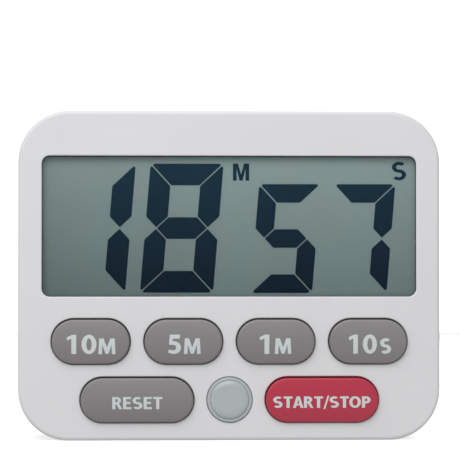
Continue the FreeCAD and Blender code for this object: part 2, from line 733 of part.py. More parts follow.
def make_dome(name, across, height):
    """The thin rubber skirt that springs one key back."""
    outside = doc.addObject("Part::Cone", name + "_dome_outside")
    inside = doc.addObject("Part::Cone", name + "_dome_inside")
    for cone, thinner in ((outside, "0"), (inside, "dome_wall")):
        bind(cone, Radius1=f"dome_radius + dome_wall - {thinner}",
             Radius2=f"{PLUNGER_RADIUS} + dome_wall - {thinner}", Height="dome_height")
        cone.Placement.Rotation = FreeCAD.Rotation(Vector(1, 0, 0), 90)
        cone.setExpression("Placement.Base.x", formula(across))
        cone.setExpression("Placement.Base.y", formula(f"{REAR} - {MAT_FRONT}"))
        cone.setExpression("Placement.Base.z", formula(height))
    dome = doc.addObject("Part::Cut", name + "_dome")
    dome.Base = outside
    dome.Tool = inside
    dome.Label = name + "_dome"
    parts.append(dome)


def make_keypad_mat():
    body = new_body("keypad_mat")
    middle, tall = span("mat_step", "mat_top")
    add(body, "mat_upper", box("mat_width", tall), "0", middle, BOARD_FRONT, MAT_FRONT)
    middle, tall = span("mat_bottom", "mat_step")
    add(body, "mat_lower", box("mat_foot_width", tall), "0", middle, BOARD_FRONT,
        MAT_FRONT)
    for name, across, height, length in KEYS:
        cut(body, name + "_well", circle("dome_radius"), across, height, BOARD_FRONT,
            MAT_FRONT)
    cut(body, "lamp_well", circle("lamp_hole_radius - key_shell"), "0", "lower_row",
        BOARD_FRONT, MAT_FRONT)


# ---- the display ----------------------------------------------------------
def make_display():
    middle, tall = span(REAR_GLASS_BOTTOM, GLASS_TOP)
    long_middle, long_tall = span(FRONT_GLASS_BOTTOM, GLASS_TOP)
    layers = [
        ("lcd_front_polariser", middle, tall, FRONT_GLASS_FRONT, POLARISER_FRONT),
        ("lcd_front_glass", long_middle, long_tall, REAR_GLASS_FRONT, FRONT_GLASS_FRONT),
        ("lcd_rear_glass", middle, tall, REFLECTOR_FRONT, REAR_GLASS_FRONT),
        ("lcd_reflector", middle, tall, LEDGE, REFLECTOR_FRONT),
    ]
    for name, height, size, rear, front in layers:
        body = new_body(name)
        add(body, name + "_layer", box(GLASS_WIDTH, size), "0", height, rear, front)

    holder = new_body("display_holder")
    middle, tall = span(HOLDER_BOTTOM, HOLDER_TOP)
    add(holder, "holder_block", rounded(HOLDER_WIDTH, tall, "holder_wall"), "0", middle,
        BOARD_FRONT, FRONT_WALL)
    middle, tall = span(f"{FRONT_GLASS_BOTTOM} - fit_gap", f"{GLASS_TOP} + fit_gap")
    cut(holder, "glass_pocket", box(f"{GLASS_WIDTH} + 2*fit_gap", tall), "0", middle,
        LEDGE, FRONT_WALL)
    middle, tall = span(f"{FRONT_GLASS_BOTTOM} - fit_gap", f"{GLASS_TOP} - holder_ledge")
    cut(holder, "holder_window", box(f"{GLASS_WIDTH} - 2*holder_ledge", tall), "0",
        middle, BOARD_FRONT, LEDGE)

    strip = new_body("zebra_strip")
    middle, tall = span(f"{FRONT_GLASS_BOTTOM} + fit_gap/2", f"{REAR_GLASS_BOTTOM} - 2*fit_gap")
    add(strip, "strip", box("strip_length", tall), "0", middle, BOARD_FRONT,
        REAR_GLASS_FRONT)


# ---- the electronics ------------------------------------------------------
def make_circuit_board():
    body = new_body("circuit_board")
    middle, tall = span("board_bottom", HOLDER_TOP)
    add(body, "board", rounded(f"{HOLDER_WIDTH} + 2*board_margin", tall,
                               "board_corner_radius"), "0", middle, BOARD_REAR, BOARD_FRONT)
    for side in BOTH_SIDES:
        name = "left" if side else "right"
        cut(body, name + "_notch", circle("board_notch_radius"), side + "lower_screw_across",
            "lower_screw_height", BOARD_REAR, BOARD_FRONT)
        cut(body, name + "_screw_hole", circle("board_screw_radius + screw_clearance"),
            side + "board_screw_across", "board_screw_height", BOARD_REAR, BOARD_FRONT)

    screws = new_body("board_screws")
    for side in BOTH_SIDES:
        name = "left" if side else "right"
        across = side + "board_screw_across"
        add(screws, name + "_head", circle("board_screw_head_radius"), across,
            "board_screw_height", f"{BOARD_REAR} - board_screw_head", BOARD_REAR)
        add(screws, name + "_shank", circle("board_screw_radius"), across,
            "board_screw_height", BOARD_REAR, f"{BOARD_REAR} + board_screw_length")


def make_board_parts():
    chip = new_body("controller_chip")
    add(chip, "resin_cap", circle("chip_radius"), "chip_across", "window_centre", BOARD_FRONT,
        f"{BOARD_FRONT} + chip_height")
    dress(chip, "resin_edge", "Fillet", f"{BOARD_FRONT} + chip_height", "0.6*chip_height")

    crystal = new_body("clock_crystal")
    add_across(crystal, "can", circle("crystal_radius"), "crystal_across - crystal_length",
               "crystal_across", "window_centre", f"{BOARD_FRONT} + crystal_radius")

    small = new_body("surface_mount_parts")
    for index in range(-3, 4):
        add(small, f"chip_resistor_{index + 4}", box("small_part_length", "small_part_width"),
            f"{index}*small_part_pitch", f"{REAR_GLASS_BOTTOM} + small_part_pitch",
            BOARD_FRONT, f"{BOARD_FRONT} + small_part_height")

    led = new_body("alarm_led")
    add(led, "led", circle("led_radius"), "0", "lower_row", BOARD_FRONT,
        f"{BOARD_FRONT} + led_height")
    dress(led, "led_dome", "Fillet", f"{BOARD_FRONT} + led_height", "0.6*led_radius")


def make_buzzer():
    plate = new_body("buzzer_plate")
    add(plate, "brass_disc", circle("buzzer_radius"), "buzzer_across", "buzzer_height",
        BUZZER_REAR, CERAMIC_REAR)
    ceramic = new_body("buzzer_ceramic")
    add(ceramic, "ceramic_disc", circle("ceramic_radius"), "buzzer_across", "buzzer_height",
        CERAMIC_REAR, f"{CERAMIC_REAR} + ceramic_thickness")
    springs = new_body("buzzer_springs")
    length = f"({BOARD_REAR} - {CERAMIC_REAR} - ceramic_thickness - 2*buzzer_spring_wire)"
    for name, offset in (("inner_coil", "-buzzer_radius/3"), ("outer_coil", "buzzer_radius/3")):
        coil(springs, name, side_sketch, f"buzzer_across + {offset}", "buzzer_height",
             f"{BOARD_REAR} - buzzer_spring_wire", "buzzer_spring_radius",
             "buzzer_spring_wire", length, "buzzer_spring_turns")


def coil(body, name, place, across, height, depth, radius, wire, length, turns, back=False):
    """A round-wire spring along its sketch's own X axis."""
    def draw(sketch):
        r = number(wire)
        sketch.addGeometry(Part.Circle(Vector(0, number(radius), 0), Vector(0, 0, 1), r), False)
        sketch.addConstraint(Sketcher.Constraint("PointOnObject", 0, 3, -2))
        name_size(sketch, Sketcher.Constraint("Radius", 0, r), "wire", wire)
        name_size(sketch, Sketcher.Constraint("DistanceY", -1, 1, 0, 3, number(radius)),
                  "radius", radius)
    helix = body.newObject("PartDesign::AdditiveHelix", name)
    sketch = place(body, name, draw, across, height, depth)
    helix.Profile = sketch
    helix.ReferenceAxis = (sketch, ["H_Axis"])
    helix.Mode = "height-turns-angle"
    bind(helix, Height=length, Turns=turns)
    helix.Reversed = back
    return helix


def make_mode_slide():
    switch = new_body("mode_switch_body")
    add(switch, "switch_box", box("switch_width", "switch_height"), "slide_across",
        "slide_height", f"{BOARD_REAR} - switch_depth", BOARD_REAR)
    lever = new_body("mode_switch_lever")
    add(lever, "lever", box("lever_size", "lever_size"), "slide_across", KNOB_HEIGHT,
        LEVER_REAR, f"{BOARD_REAR} - switch_depth")
    knob = new_body("mode_knob")
    add(knob, "knob_cap", rounded("slide_cap_width", "slide_cap_height", "slide_recess/2"),
        "slide_across", KNOB_HEIGHT, "slide_recess/10", "slide_recess/10 + slide_cap")
    add(knob, "stem", box("slide_stem_width", "slide_stem_height"), "slide_across",
        KNOB_HEIGHT, "slide_recess/10 + slide_cap", STEM_FRONT)
    add(knob, "collar", box("slide_collar_width", "slide_collar_height"), "slide_across",
        KNOB_HEIGHT, "wall + fit_gap", "wall + fit_gap + slide_collar")
    cut(knob, "fork", box("2*slide_stem_width", "lever_size + 2*fork_play"), "slide_across",
        KNOB_HEIGHT, f"{LEVER_REAR} - fork_play", STEM_FRONT)
    for index in (-1, 0, 1):
        cut(knob, f"grip_{index + 2}", box("slide_cap_width", "slide_groove"), "slide_across",
            f"{KNOB_HEIGHT} + {index}*3*slide_groove", "slide_recess/10",
            "slide_recess/10 + slide_groove")


# ---- the battery bay --------------------------------------------------------
def make_battery():
    cells = new_body("battery_cells")
    caps = new_body("battery_caps")
    springs = new_body("battery_springs")
    end = f"({CONTACT_FACE} - cell_cap_length)"
    start = f"({end} - cell_length)"
    reach = f"({CONTACT_FACE} + {start} - 2*spring_wire)"
    add_across(cells, "upper_cell", circle("cell_radius"), start, end, UPPER_CELL, CELL_DEPTH)
    add_across(caps, "upper_cap", circle("cell_cap_radius"), end, CONTACT_FACE, UPPER_CELL,
               CELL_DEPTH)
    coil(springs, "upper_spring", facing_sketch, f"spring_wire - {CONTACT_FACE}", UPPER_CELL,
         CELL_DEPTH, "spring_radius", "spring_wire", reach, "spring_turns")
    add_across(cells, "lower_cell", circle("cell_radius"), f"-{end}", f"-{start}", LOWER_CELL,
               CELL_DEPTH)
    add_across(caps, "lower_cap", circle("cell_cap_radius"), f"-{CONTACT_FACE}", f"-{end}",
               LOWER_CELL, CELL_DEPTH)
    coil(springs, "lower_spring", facing_sketch, f"{CONTACT_FACE} - spring_wire", LOWER_CELL,
         CELL_DEPTH, "spring_radius", "spring_wire", reach, "spring_turns", True)


def make_contacts():
    rear = f"{DOOR_BACK} + bay_clearance"
    centre, deep = span(rear, BAY_FLOOR)
    link = new_body("link_contact")
    add_across(link, "link_plate", box(deep, "cell_pitch + contact_width"),
               f"-{BAY_END}", f"-{CONTACT_FACE}", "bay_bottom + bay_height/2", centre)
    for name, height in (("positive_contact", UPPER_CELL), ("negative_contact", LOWER_CELL)):
        body = new_body(name)
        add_across(body, name + "_plate", box(deep, "contact_width"), CONTACT_FACE, BAY_END,
                   height, centre)
        tab_centre, tab_deep = span(BAY_FLOOR, BOARD_REAR)
        add_across(body, name + "_tab", box(tab_deep, "contact_tab_width"), CONTACT_FACE,
                   BAY_END, height, tab_centre)


def make_battery_door():
    body = new_body("battery_door")
    middle, tall = span("door_bottom", "case_height")
    add(body, "door_outer", box("door_width", tall), "0", middle, "0", "door_plate")

    def at_top(edge):
        return edge.BoundBox.ZMin > number("case_height") - 1e-4
    dress(body, "door_edge", "Fillet", "0", "rear_edge_radius", at_top)
    add(body, "door_inner", box("door_width + 2*door_tongue_reach", tall), "0", middle,
        "door_plate", DOOR_BACK)
    for index in range(4):
        groove = stadium("door_groove_length", "door_groove_width")
        cut(body, f"door_groove_{index}", groove, "0",
            f"case_height - door_groove_drop + {index}*door_groove_pitch", "0",
            "door_groove_depth")


# ---- the stand and the magnets --------------------------------------------------
def make_stand():
    body = new_body("stand")
    middle, tall = span("stand_bottom", "hinge_height")
    add(body, "stand_panel", rounded("stand_width", tall, "stand_corner_radius"), "0",
        middle, PLATE_REAR, PLATE_FRONT)
    middle, tall = span("hinge_height - stand_corner_radius", "hinge_height")
    add(body, "stand_shoulder", box("stand_width", tall), "0", middle, PLATE_REAR,
        PLATE_FRONT)
    add_across(body, "hinge_barrel", circle("hinge_barrel_radius"), "-stand_width/2",
               "stand_width/2", "hinge_height", "hinge_depth")
    pin = "(stand_width/2 + hinge_pin_length)"
    add_across(body, "hinge_pins", circle("hinge_pin_radius"), f"-{pin}", pin, "hinge_height",
               "hinge_depth")
    middle, tall = span("stand_bottom + 2*stand_plate", "hinge_height - 3*stand_plate")
    cut(body, "stand_relief", rounded("stand_width - 4*stand_plate", tall, "stand_plate"),
        "0", middle, PLATE_REAR, f"{PLATE_REAR} + stand_plate/4")


def make_magnets():
    body = new_body("magnets")
    for side in BOTH_SIDES:
        name = "left_magnet" if side else "right_magnet"
        add(body, name, circle("magnet_radius"), side + "magnet_across", "magnet_height",
            "magnet_sink", "magnet_sink + magnet_thickness")


# ---- build, test and write ----------------------------------------------------
def check():
    """Stop if any feature failed, or any sub-part has no sound shape."""
    for item in doc.Objects:
        if "Invalid" in item.State or "Error" in item.State:
            raise RuntimeError(f"{item.Label} failed: {item.State}")
    for item in parts:
        if item.Shape.isNull() or not item.Shape.isValid():
            raise RuntimeError(f"{item.Label} has no valid shape")
        if item.TypeId != "PartDesign::Body":
            continue
        before = 0.0
        for feature in item.Group:
            if feature.isDerivedFrom("PartDesign::Feature"):
                if abs(feature.Shape.Volume - before) < 1e-6:
                    raise RuntimeError(f"{item.Label}: {feature.Name} changes nothing")
                before = feature.Shape.Volume


make_front_case()
make_rear_case()
make_case_screws()
make_window()
make_lamp_lens()
for key_name, key_across, key_height, key_length in KEYS:
    make_key(key_name, key_across, key_height, key_length)
    make_dome(key_name, key_across, key_height)
make_keypad_mat()
make_display()
make_circuit_board()
make_board_parts()
make_buzzer()
make_mode_slide()
make_battery()
make_contacts()
make_battery_door()
make_stand()
make_magnets()
doc.recompute()
check()

os.makedirs("parts", exist_ok=True)
for item in parts:
    item.Shape.exportStep(f"parts/{item.Label}.step")
print(len(parts), "sub-parts written")
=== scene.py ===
# %% [markdown]
# # A bench timer with large digits
# The frame is a finished CAD model, already in metres: X runs across the face to the right, Z
# is up and the face looks along -Y. This lesson gives it its looks: the digits on its display,
# the legends on its keys, its lamp, and a finish for every piece, down to the circuit board
# inside. Nothing is moved or resized, because the sizes and the motion belong to the CAD model.

# %% Open the frame
import math

import bmesh
import bpy
from mathutils import Matrix, Vector


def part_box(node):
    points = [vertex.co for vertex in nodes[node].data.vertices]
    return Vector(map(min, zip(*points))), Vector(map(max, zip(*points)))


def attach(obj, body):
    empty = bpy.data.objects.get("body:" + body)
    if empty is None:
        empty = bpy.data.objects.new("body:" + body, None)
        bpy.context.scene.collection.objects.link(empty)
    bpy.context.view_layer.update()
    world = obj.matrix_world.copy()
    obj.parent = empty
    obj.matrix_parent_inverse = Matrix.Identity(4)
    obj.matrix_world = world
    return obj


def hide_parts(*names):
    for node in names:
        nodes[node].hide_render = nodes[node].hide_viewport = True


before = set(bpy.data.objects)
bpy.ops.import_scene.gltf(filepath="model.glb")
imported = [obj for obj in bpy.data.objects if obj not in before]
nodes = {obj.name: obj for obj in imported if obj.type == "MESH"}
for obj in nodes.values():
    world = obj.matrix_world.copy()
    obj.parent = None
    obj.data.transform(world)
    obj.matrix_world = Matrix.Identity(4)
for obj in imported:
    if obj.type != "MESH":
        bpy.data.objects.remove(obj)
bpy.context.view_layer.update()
MM = 0.001

# %% [markdown]
# Most places on a flat-faced object are easiest to give as a depth from its back. The rear face
# is the highest Y of the rear shell, so a depth in millimetres turns into a Y in metres by one
# line. The key names come in two lists, because the four small keys have a number and a letter
# each.

# %% Places that everything else starts from
REAR_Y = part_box("rear_case")[1][1]
FACE_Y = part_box("front_case")[0][1]
SMALL_KEYS = ("ten_minute", "five_minute", "one_minute", "ten_second")
LONG_KEYS = ("reset", "start_stop")
KEYS = SMALL_KEYS + LONG_KEYS


def middle(node):
    """The middle of a CAD node's box."""
    low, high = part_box(node)
    return (Vector(low) + Vector(high)) / 2


print("rear at", round(REAR_Y, 4), "face at", round(FACE_Y, 4))

# %% [markdown]
# ## The stage
# A catalogue picture of a small product stands it on a pale floor under a big soft light. The
# floor here is a flat disc. The pale background is a large sphere that only the camera sees, so
# that it sends no light back onto the object and the light stays with the lamps.

# %% Floor and background
FLOOR_RADIUS = 0.9
SKY_RADIUS = 8.0
FLOOR_GLOW = 0.5


def plain_material(name, colour, strength=0.0):
    """A matt surface, or a glowing one if strength is above nought."""
    material = bpy.data.materials.new(name)
    material.use_nodes = True
    shader = material.node_tree.nodes["Principled BSDF"]
    shader.inputs["Base Color"].default_value = (*colour, 1)
    shader.inputs["Roughness"].default_value = 0.9
    shader.inputs["Emission Color"].default_value = (*colour, 1)
    shader.inputs["Emission Strength"].default_value = strength
    return material


bpy.ops.mesh.primitive_circle_add(vertices=96, radius=FLOOR_RADIUS, fill_type="NGON")
floor = bpy.context.object
floor.name = "floor"
floor.data.materials.append(plain_material("pale_floor", (0.9, 0.9, 0.9), FLOOR_GLOW))
bpy.ops.mesh.primitive_uv_sphere_add(segments=32, ring_count=16, radius=SKY_RADIUS)
sky = bpy.context.object
sky.name = "background"
sky.data.materials.append(plain_material("pale_background", (1, 1, 1), 1.0))
for ray in ("diffuse", "glossy", "transmission", "volume_scatter", "shadow"):
    setattr(sky, "visible_" + ray, False)
floor.visible_diffuse = False
print("floor", FLOOR_RADIUS, "m, background", SKY_RADIUS, "m")

# %% [markdown]
# The camera stands half a metre away, a little to the left of the middle and below the display, so
# each key hides a little of the gap on its right and below it. Its lens is long, so the outline
# stays almost free of perspective.

# %% Camera
CAMERA_PLACE = Vector((-0.0181, -0.520, 0.038))
CAMERA_AIM = Vector((0.0001, FACE_Y, 0.0473))
FRAME_WIDTH = 0.1035
SENSOR = 36.0
bpy.ops.object.camera_add(location=CAMERA_PLACE)
camera = bpy.context.object
camera.rotation_euler = (CAMERA_AIM - CAMERA_PLACE).to_track_quat("-Z", "Y").to_euler()
camera.data.sensor_width = SENSOR
camera.data.lens = SENSOR * (CAMERA_AIM - CAMERA_PLACE).length / FRAME_WIDTH
camera.data.clip_start = 0.01
bpy.context.scene.camera = camera
print("lens", round(camera.data.lens, 1), "mm")

# %% [markdown]
# A white room lights the object from all round, which is why even its lower edge is pale. Two large
# soft lamps add the shape: one high in front, which brightens the upper edge of every key and lets
# the case grow darker downwards, and one behind for the views of the back. The picture is shown
# without a film curve, so a colour comes out close to the one mixed on its shader.

# %% Lights
LAMP_SIZE = 0.50
ROOM_STRENGTH = 0.50


def soft_light(name, place, aim, size, watts):
    bpy.ops.object.light_add(type="AREA", location=place)
    lamp = bpy.context.object
    lamp.name = name
    lamp.rotation_euler = (Vector(aim) - Vector(place)).to_track_quat("-Z", "Y").to_euler()
    lamp.data.shape = "SQUARE"
    lamp.data.size = size
    lamp.data.energy = watts
    return lamp


AIM = (0, 0, 0.04)
soft_light("high_front", (-0.12, -0.34, 0.42), AIM, LAMP_SIZE, 2.1)
soft_light("back", (0.30, 0.50, 0.40), AIM, LAMP_SIZE, 2.2)
world = bpy.data.worlds.new("studio")
world.use_nodes = True
world.node_tree.nodes["Background"].inputs["Color"].default_value = (1, 1, 1, 1)
world.node_tree.nodes["Background"].inputs["Strength"].default_value = ROOM_STRENGTH
bpy.context.scene.world = world
bpy.context.scene.view_settings.view_transform = "Standard"

# %% [markdown]
# ## Finishes
# Moulded plastic is never one flat colour. Its surface has a fine grain from the mould, its
# gloss varies a little from place to place, and its colour drifts by a percent or two. So one
# helper builds that for any colour: two noises on Object coordinates, one fine for the grain and
# one coarse for the drift. Object coordinates are in metres, so a scale of 3500 makes grains a
# little over a quarter of a millimetre wide.

# %% A helper that starts every finish
def colour(red, green, blue):
    """Screen values from 0 to 255 as the linear colour that shaders use."""
    def linear(value):
        value = value / 255
        return value / 12.92 if value <= 0.04045 else ((value + 0.055) / 1.055) ** 2.4
    return (linear(red), linear(green), linear(blue), 1)


def start_finish(name, roughness=0.5, metallic=0.0):
    """A new material: its node tree, its shader and its Object coordinates."""
    material = bpy.data.materials.new(name)
    material.use_nodes = True
    tree = material.node_tree
    shader = tree.nodes["Principled BSDF"]
    shader.inputs["Roughness"].default_value = roughness
    shader.inputs["Metallic"].default_value = metallic
    place = tree.nodes.new("ShaderNodeTexCoord").outputs["Object"]
    return material, tree, shader, place


def noise(tree, place, scale, detail=2.0):
    node = tree.nodes.new("ShaderNodeTexNoise")
    node.inputs["Scale"].default_value = scale
    node.inputs["Detail"].default_value = detail
    tree.links.new(place, node.inputs["Vector"])
    return node.outputs["Fac"]


def ramp(tree, value, stops):
    """Turns a value into a colour, through (position, colour) stops."""
    node = tree.nodes.new("ShaderNodeValToRGB")
    marks = node.color_ramp.elements
    while len(marks) < len(stops):
        marks.new(0.5)
    for mark, (position, shade) in zip(marks, stops):
        mark.position = position
        mark.color = shade
    tree.links.new(value, node.inputs["Fac"])
    return node.outputs["Color"]


def spread(tree, value, low, high, new_low, new_high):
    """Stretches a range of values over another range."""
    node = tree.nodes.new("ShaderNodeMapRange")
    for name, number in (("From Min", low), ("From Max", high), ("To Min", new_low),
                         ("To Max", new_high)):
        node.inputs[name].default_value = number
    tree.links.new(value, node.inputs["Value"])
    return node.outputs["Result"]


def bump(tree, shader, height, strength, distance):
    node = tree.nodes.new("ShaderNodeBump")
    node.inputs["Strength"].default_value = strength
    node.inputs["Distance"].default_value = distance
    tree.links.new(height, node.inputs["Height"])
    tree.links.new(node.outputs["Normal"], shader.inputs["Normal"])


GRAIN_SCALE = 3500.0
GRAIN_HEIGHT = 0.02 * MM


def shade(tone, factor):
    """The same colour, lighter or darker."""
    return tuple(part * factor for part in tone[:3]) + (1,)


print("helpers ready")

# %% [markdown]
# The helper for plastics. The drift multiplies the colour by a few percent each way, the
# roughness follows a middle-sized noise, and the grain is a bump a few hundredths of a
# millimetre high.

# %% Moulded plastic
def moulded(name, tone, roughness=0.5, drift=0.02, grain=0.25, grain_scale=GRAIN_SCALE):
    material, tree, shader, place = start_finish(name, roughness)
    broad = noise(tree, place, 60.0)
    mix = ramp(tree, broad, [(0.3, shade(tone, 1 - drift)), (0.7, shade(tone, 1 + drift))])
    tree.links.new(mix, shader.inputs["Base Color"])
    patchy = noise(tree, place, 500.0)
    gloss = spread(tree, patchy, 0.3, 0.7, roughness - 0.05, roughness + 0.05)
    tree.links.new(gloss, shader.inputs["Roughness"])
    bump(tree, shader, noise(tree, place, grain_scale, 3.0), grain, GRAIN_HEIGHT)
    return material


def height_fade(name, low, high, bottom, top, roughness, grain, drift=0.05):
    """Moulded plastic whose colour fades from one tone to another up the object: painted shade
    below, painted light above.
    """
    material, tree, shader, place = start_finish(name, roughness)
    split = tree.nodes.new("ShaderNodeSeparateXYZ")
    tree.links.new(place, split.inputs["Vector"])
    climb = spread(tree, split.outputs["Z"], low, high, 0.0, 1.0)
    drifting = spread(tree, noise(tree, place, 90.0), 0.3, 0.7, -drift, drift)
    total = tree.nodes.new("ShaderNodeMath")
    tree.links.new(climb, total.inputs[0])
    tree.links.new(drifting, total.inputs[1])
    tree.links.new(ramp(tree, total.outputs["Value"], [(0.0, bottom), (1.0, top)]),
                   shader.inputs["Base Color"])
    if grain:
        bump(tree, shader, noise(tree, place, GRAIN_SCALE, 3.0), grain, GRAIN_HEIGHT)
    return material


case_plastic = moulded("case_plastic", colour(222, 222, 224), 0.48, 0.012, 0.25)
print("made", case_plastic.name)

# %% [markdown]
# Each key is a crowned cap in a satin plastic. The caps are printed after moulding, so the
# moulded finish of a cap is the same all over. Its colour carries painted shade and a painted
# sheen: a slow fade from darker at the lower edge to lighter at the upper one, for a crowned top
# under a high lamp.

# %% Key plastics with painted shade and sheen
def key_plastic_with_painted_sheen(name, node, bottom, top):
    low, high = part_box(node)
    return height_fade(name, low[2] + 1.0 * MM, high[2] - 1.0 * MM, bottom, top, 0.42, 0.3, 0.04)


# Painted shade at the lower edge of a grey key and painted sheen at its upper edge.
GREY_PAINTED_SHADE = colour(118, 113, 114)
GREY_PAINTED_SHEEN = colour(136, 133, 134)
upper_grey = key_plastic_with_painted_sheen("upper_key_plastic", "ten_minute_key", GREY_PAINTED_SHADE, GREY_PAINTED_SHEEN)
lower_grey = key_plastic_with_painted_sheen("lower_key_plastic", "reset_key", GREY_PAINTED_SHADE, GREY_PAINTED_SHEEN)
# The red key gets the same painted shade below and painted sheen above.
red_plastic = key_plastic_with_painted_sheen("red_key_plastic", "start_stop_key", colour(169, 36, 60),
                          colour(181, 38, 64))
print("key plastics ready")

# %% [markdown]
# The display is a reflective liquid crystal: a grey-green film in front, two glasses and a
# silvery film behind. From the front only the first film shows, so it carries the whole look.
# Its colour has painted shade: lighter at the top, where the viewer looks more squarely at it,
# and darker below and to the left. The very faint cloudy patches are the film's own tone.

# %% Display films and glass
# The share of the film's painted shade that darkens it towards its left side.
LEFT_PAINTED_SHADE = 0.25


def film_with_painted_shade(name, bottom, top):
    low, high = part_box("lcd_front_polariser")
    material, tree, shader, place = start_finish(name, 0.35)
    shader.inputs["Specular IOR Level"].default_value = 0.15
    split = tree.nodes.new("ShaderNodeSeparateXYZ")
    tree.links.new(place, split.inputs["Vector"])
    # Painted shade: the film grows darker towards its bottom and its left side.
    climb = spread(tree, split.outputs["Z"], low[2], high[2], LEFT_PAINTED_SHADE, 1.0)
    across = spread(tree, split.outputs["X"], low[0], 0.0, -LEFT_PAINTED_SHADE, 0.0)
    total = tree.nodes.new("ShaderNodeMath")
    tree.links.new(climb, total.inputs[0])
    tree.links.new(across, total.inputs[1])
    base = ramp(tree, total.outputs["Value"], [(0.0, bottom), (1.0, top)])
    cloud = ramp(tree, noise(tree, place, 45.0, 1.0), [(0.35, colour(250, 255, 255)),
                                                     (0.65, colour(255, 251, 252))])
    mix = tree.nodes.new("ShaderNodeMix")
    mix.data_type = "RGBA"
    mix.blend_type = "MULTIPLY"
    mix.inputs["Factor"].default_value = 1.0
    tree.links.new(base, mix.inputs[6])
    tree.links.new(cloud, mix.inputs[7])
    tree.links.new(mix.outputs[2], shader.inputs["Base Color"])
    bump(tree, shader, noise(tree, place, 6000.0), 0.1, 0.01 * MM)
    return material


def clear_sheet(name, tone, roughness, ior):
    """A sheet that mirrors as much as its Fresnel value says and lets the rest through."""
    material, tree, shader, place = start_finish(name, roughness, 1.0)
    shader.inputs["Base Color"].default_value = tone
    mirror = tree.nodes.new("ShaderNodeFresnel")
    mirror.inputs["IOR"].default_value = ior
    tree.links.new(mirror.outputs["Fac"], shader.inputs["Alpha"])
    bump(tree, shader, noise(tree, place, 40.0), 0.05, GRAIN_HEIGHT)
    material.surface_render_method = "BLENDED"
    return material


film = film_with_painted_shade("film_with_painted_shade", colour(101, 119, 118), colour(153, 174, 172))
window_clear = clear_sheet("clear_window", colour(250, 253, 253), 0.06, 1.18)
glass_clear = clear_sheet("display_glass", colour(226, 240, 236), 0.04, 1.52)
reflector = moulded("reflector_film", colour(176, 182, 180), 0.3, 0.03, 0.1)
print("display finishes ready")

# %% [markdown]
# Liquid-crystal segments look dark blue where the light crosses them at a slant and nearly black
# lower down. That light is painted into their ink, as a fade from one to the other up the display.

# %% Segment ink and legend print
def ink_with_painted_light(name):
    low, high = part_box("lcd_front_polariser")
    # Painted light: the ink is nearly black at the bottom and dark blue at the top.
    material = height_fade(name, low[2], high[2], colour(8, 27, 44), colour(28, 57, 74), 0.6, 0)
    shader = material.node_tree.nodes["Principled BSDF"]
    shader.inputs["Specular IOR Level"].default_value = 0.0
    return material


ink = ink_with_painted_light("ink_with_painted_light")
legend_print = moulded("legend_print", colour(204, 211, 211), 0.55, 0.02, 0.2)
print("inks ready")

# %% [markdown]
# ## Finishes for the pieces behind the face
# Metals get a fine speckled bump and a roughness that varies. The cell sleeve is a
# printed film, and the board is green lacquer over copper tracks, which come in the next step.

# %% Metals, rubber and resin
def metal(name, tone, roughness, speckle=900.0, strength=0.15):
    material, tree, shader, place = start_finish(name, roughness, 1.0)
    patch = noise(tree, place, speckle, 4.0)
    tree.links.new(ramp(tree, patch, [(0.3, shade(tone, 0.9)), (0.7, tone)]),
                   shader.inputs["Base Color"])
    gloss = spread(tree, patch, 0.3, 0.7, roughness - 0.07, roughness + 0.07)
    tree.links.new(gloss, shader.inputs["Roughness"])
    bump(tree, shader, patch, strength, GRAIN_HEIGHT)
    return material


steel = metal("screw_steel", colour(176, 177, 180), 0.32)
nickel = metal("magnet_nickel", colour(150, 149, 146), 0.22, 300.0, 0.08)
tin = metal("tinned_contact", colour(196, 197, 198), 0.30)
brass = metal("buzzer_brass", colour(204, 168, 96), 0.34, 1500.0)
ceramic = moulded("silvered_ceramic", colour(214, 210, 200), 0.45, 0.05, 0.3)
rubber_dark = moulded("carbon_rubber", colour(38, 38, 39), 0.8, 0.08, 0.5, 2500.0)
silicone = moulded("milky_silicone", colour(206, 206, 202), 0.62, 0.02, 0.3)
silicone.node_tree.nodes["Principled BSDF"].inputs["Subsurface Weight"].default_value = 0.2
silicone.node_tree.nodes["Principled BSDF"].inputs["Subsurface Radius"].default_value = (
    0.001, 0.001, 0.001)
resin = moulded("black_resin", colour(30, 30, 32), 0.4, 0.1, 0.3)
holder_plastic = moulded("holder_plastic", colour(226, 226, 222), 0.5, 0.02, 0.3)
lamp_red = moulded("lamp_body", colour(200, 60, 50), 0.2, 0.02, 0.05)
print("inner finishes ready")

# %% [markdown]
# Two finishes have a pattern. A brick pattern with thin mortar makes rows of copper tracks
# under the green lacquer. The two cells lie head to tail, so the sleeve's band follows X times
# the sign of the height above their middle, which puts it at the positive end of each.

# %% Circuit board lacquer and cell sleeve
def board_lacquer(name):
    material, tree, shader, place = start_finish(name, 0.35)
    turn = tree.nodes.new("ShaderNodeMapping")
    turn.inputs["Rotation"].default_value = (math.radians(90), 0, 0)
    tree.links.new(place, turn.inputs["Vector"])
    tracks = tree.nodes.new("ShaderNodeTexBrick")
    tracks.inputs["Scale"].default_value = 1.0
    tracks.inputs["Brick Width"].default_value = 6.5 * MM
    tracks.inputs["Row Height"].default_value = 1.4 * MM
    tracks.inputs["Mortar Size"].default_value = 0.14 * MM
    tracks.inputs["Color1"].default_value = colour(26, 92, 52)
    tracks.inputs["Color2"].default_value = colour(24, 86, 50)
    tracks.inputs["Mortar"].default_value = colour(52, 128, 72)
    tree.links.new(turn.outputs["Vector"], tracks.inputs["Vector"])
    tree.links.new(tracks.outputs["Color"], shader.inputs["Base Color"])
    bump(tree, shader, tracks.outputs["Fac"], 0.4, 0.03 * MM)
    return material


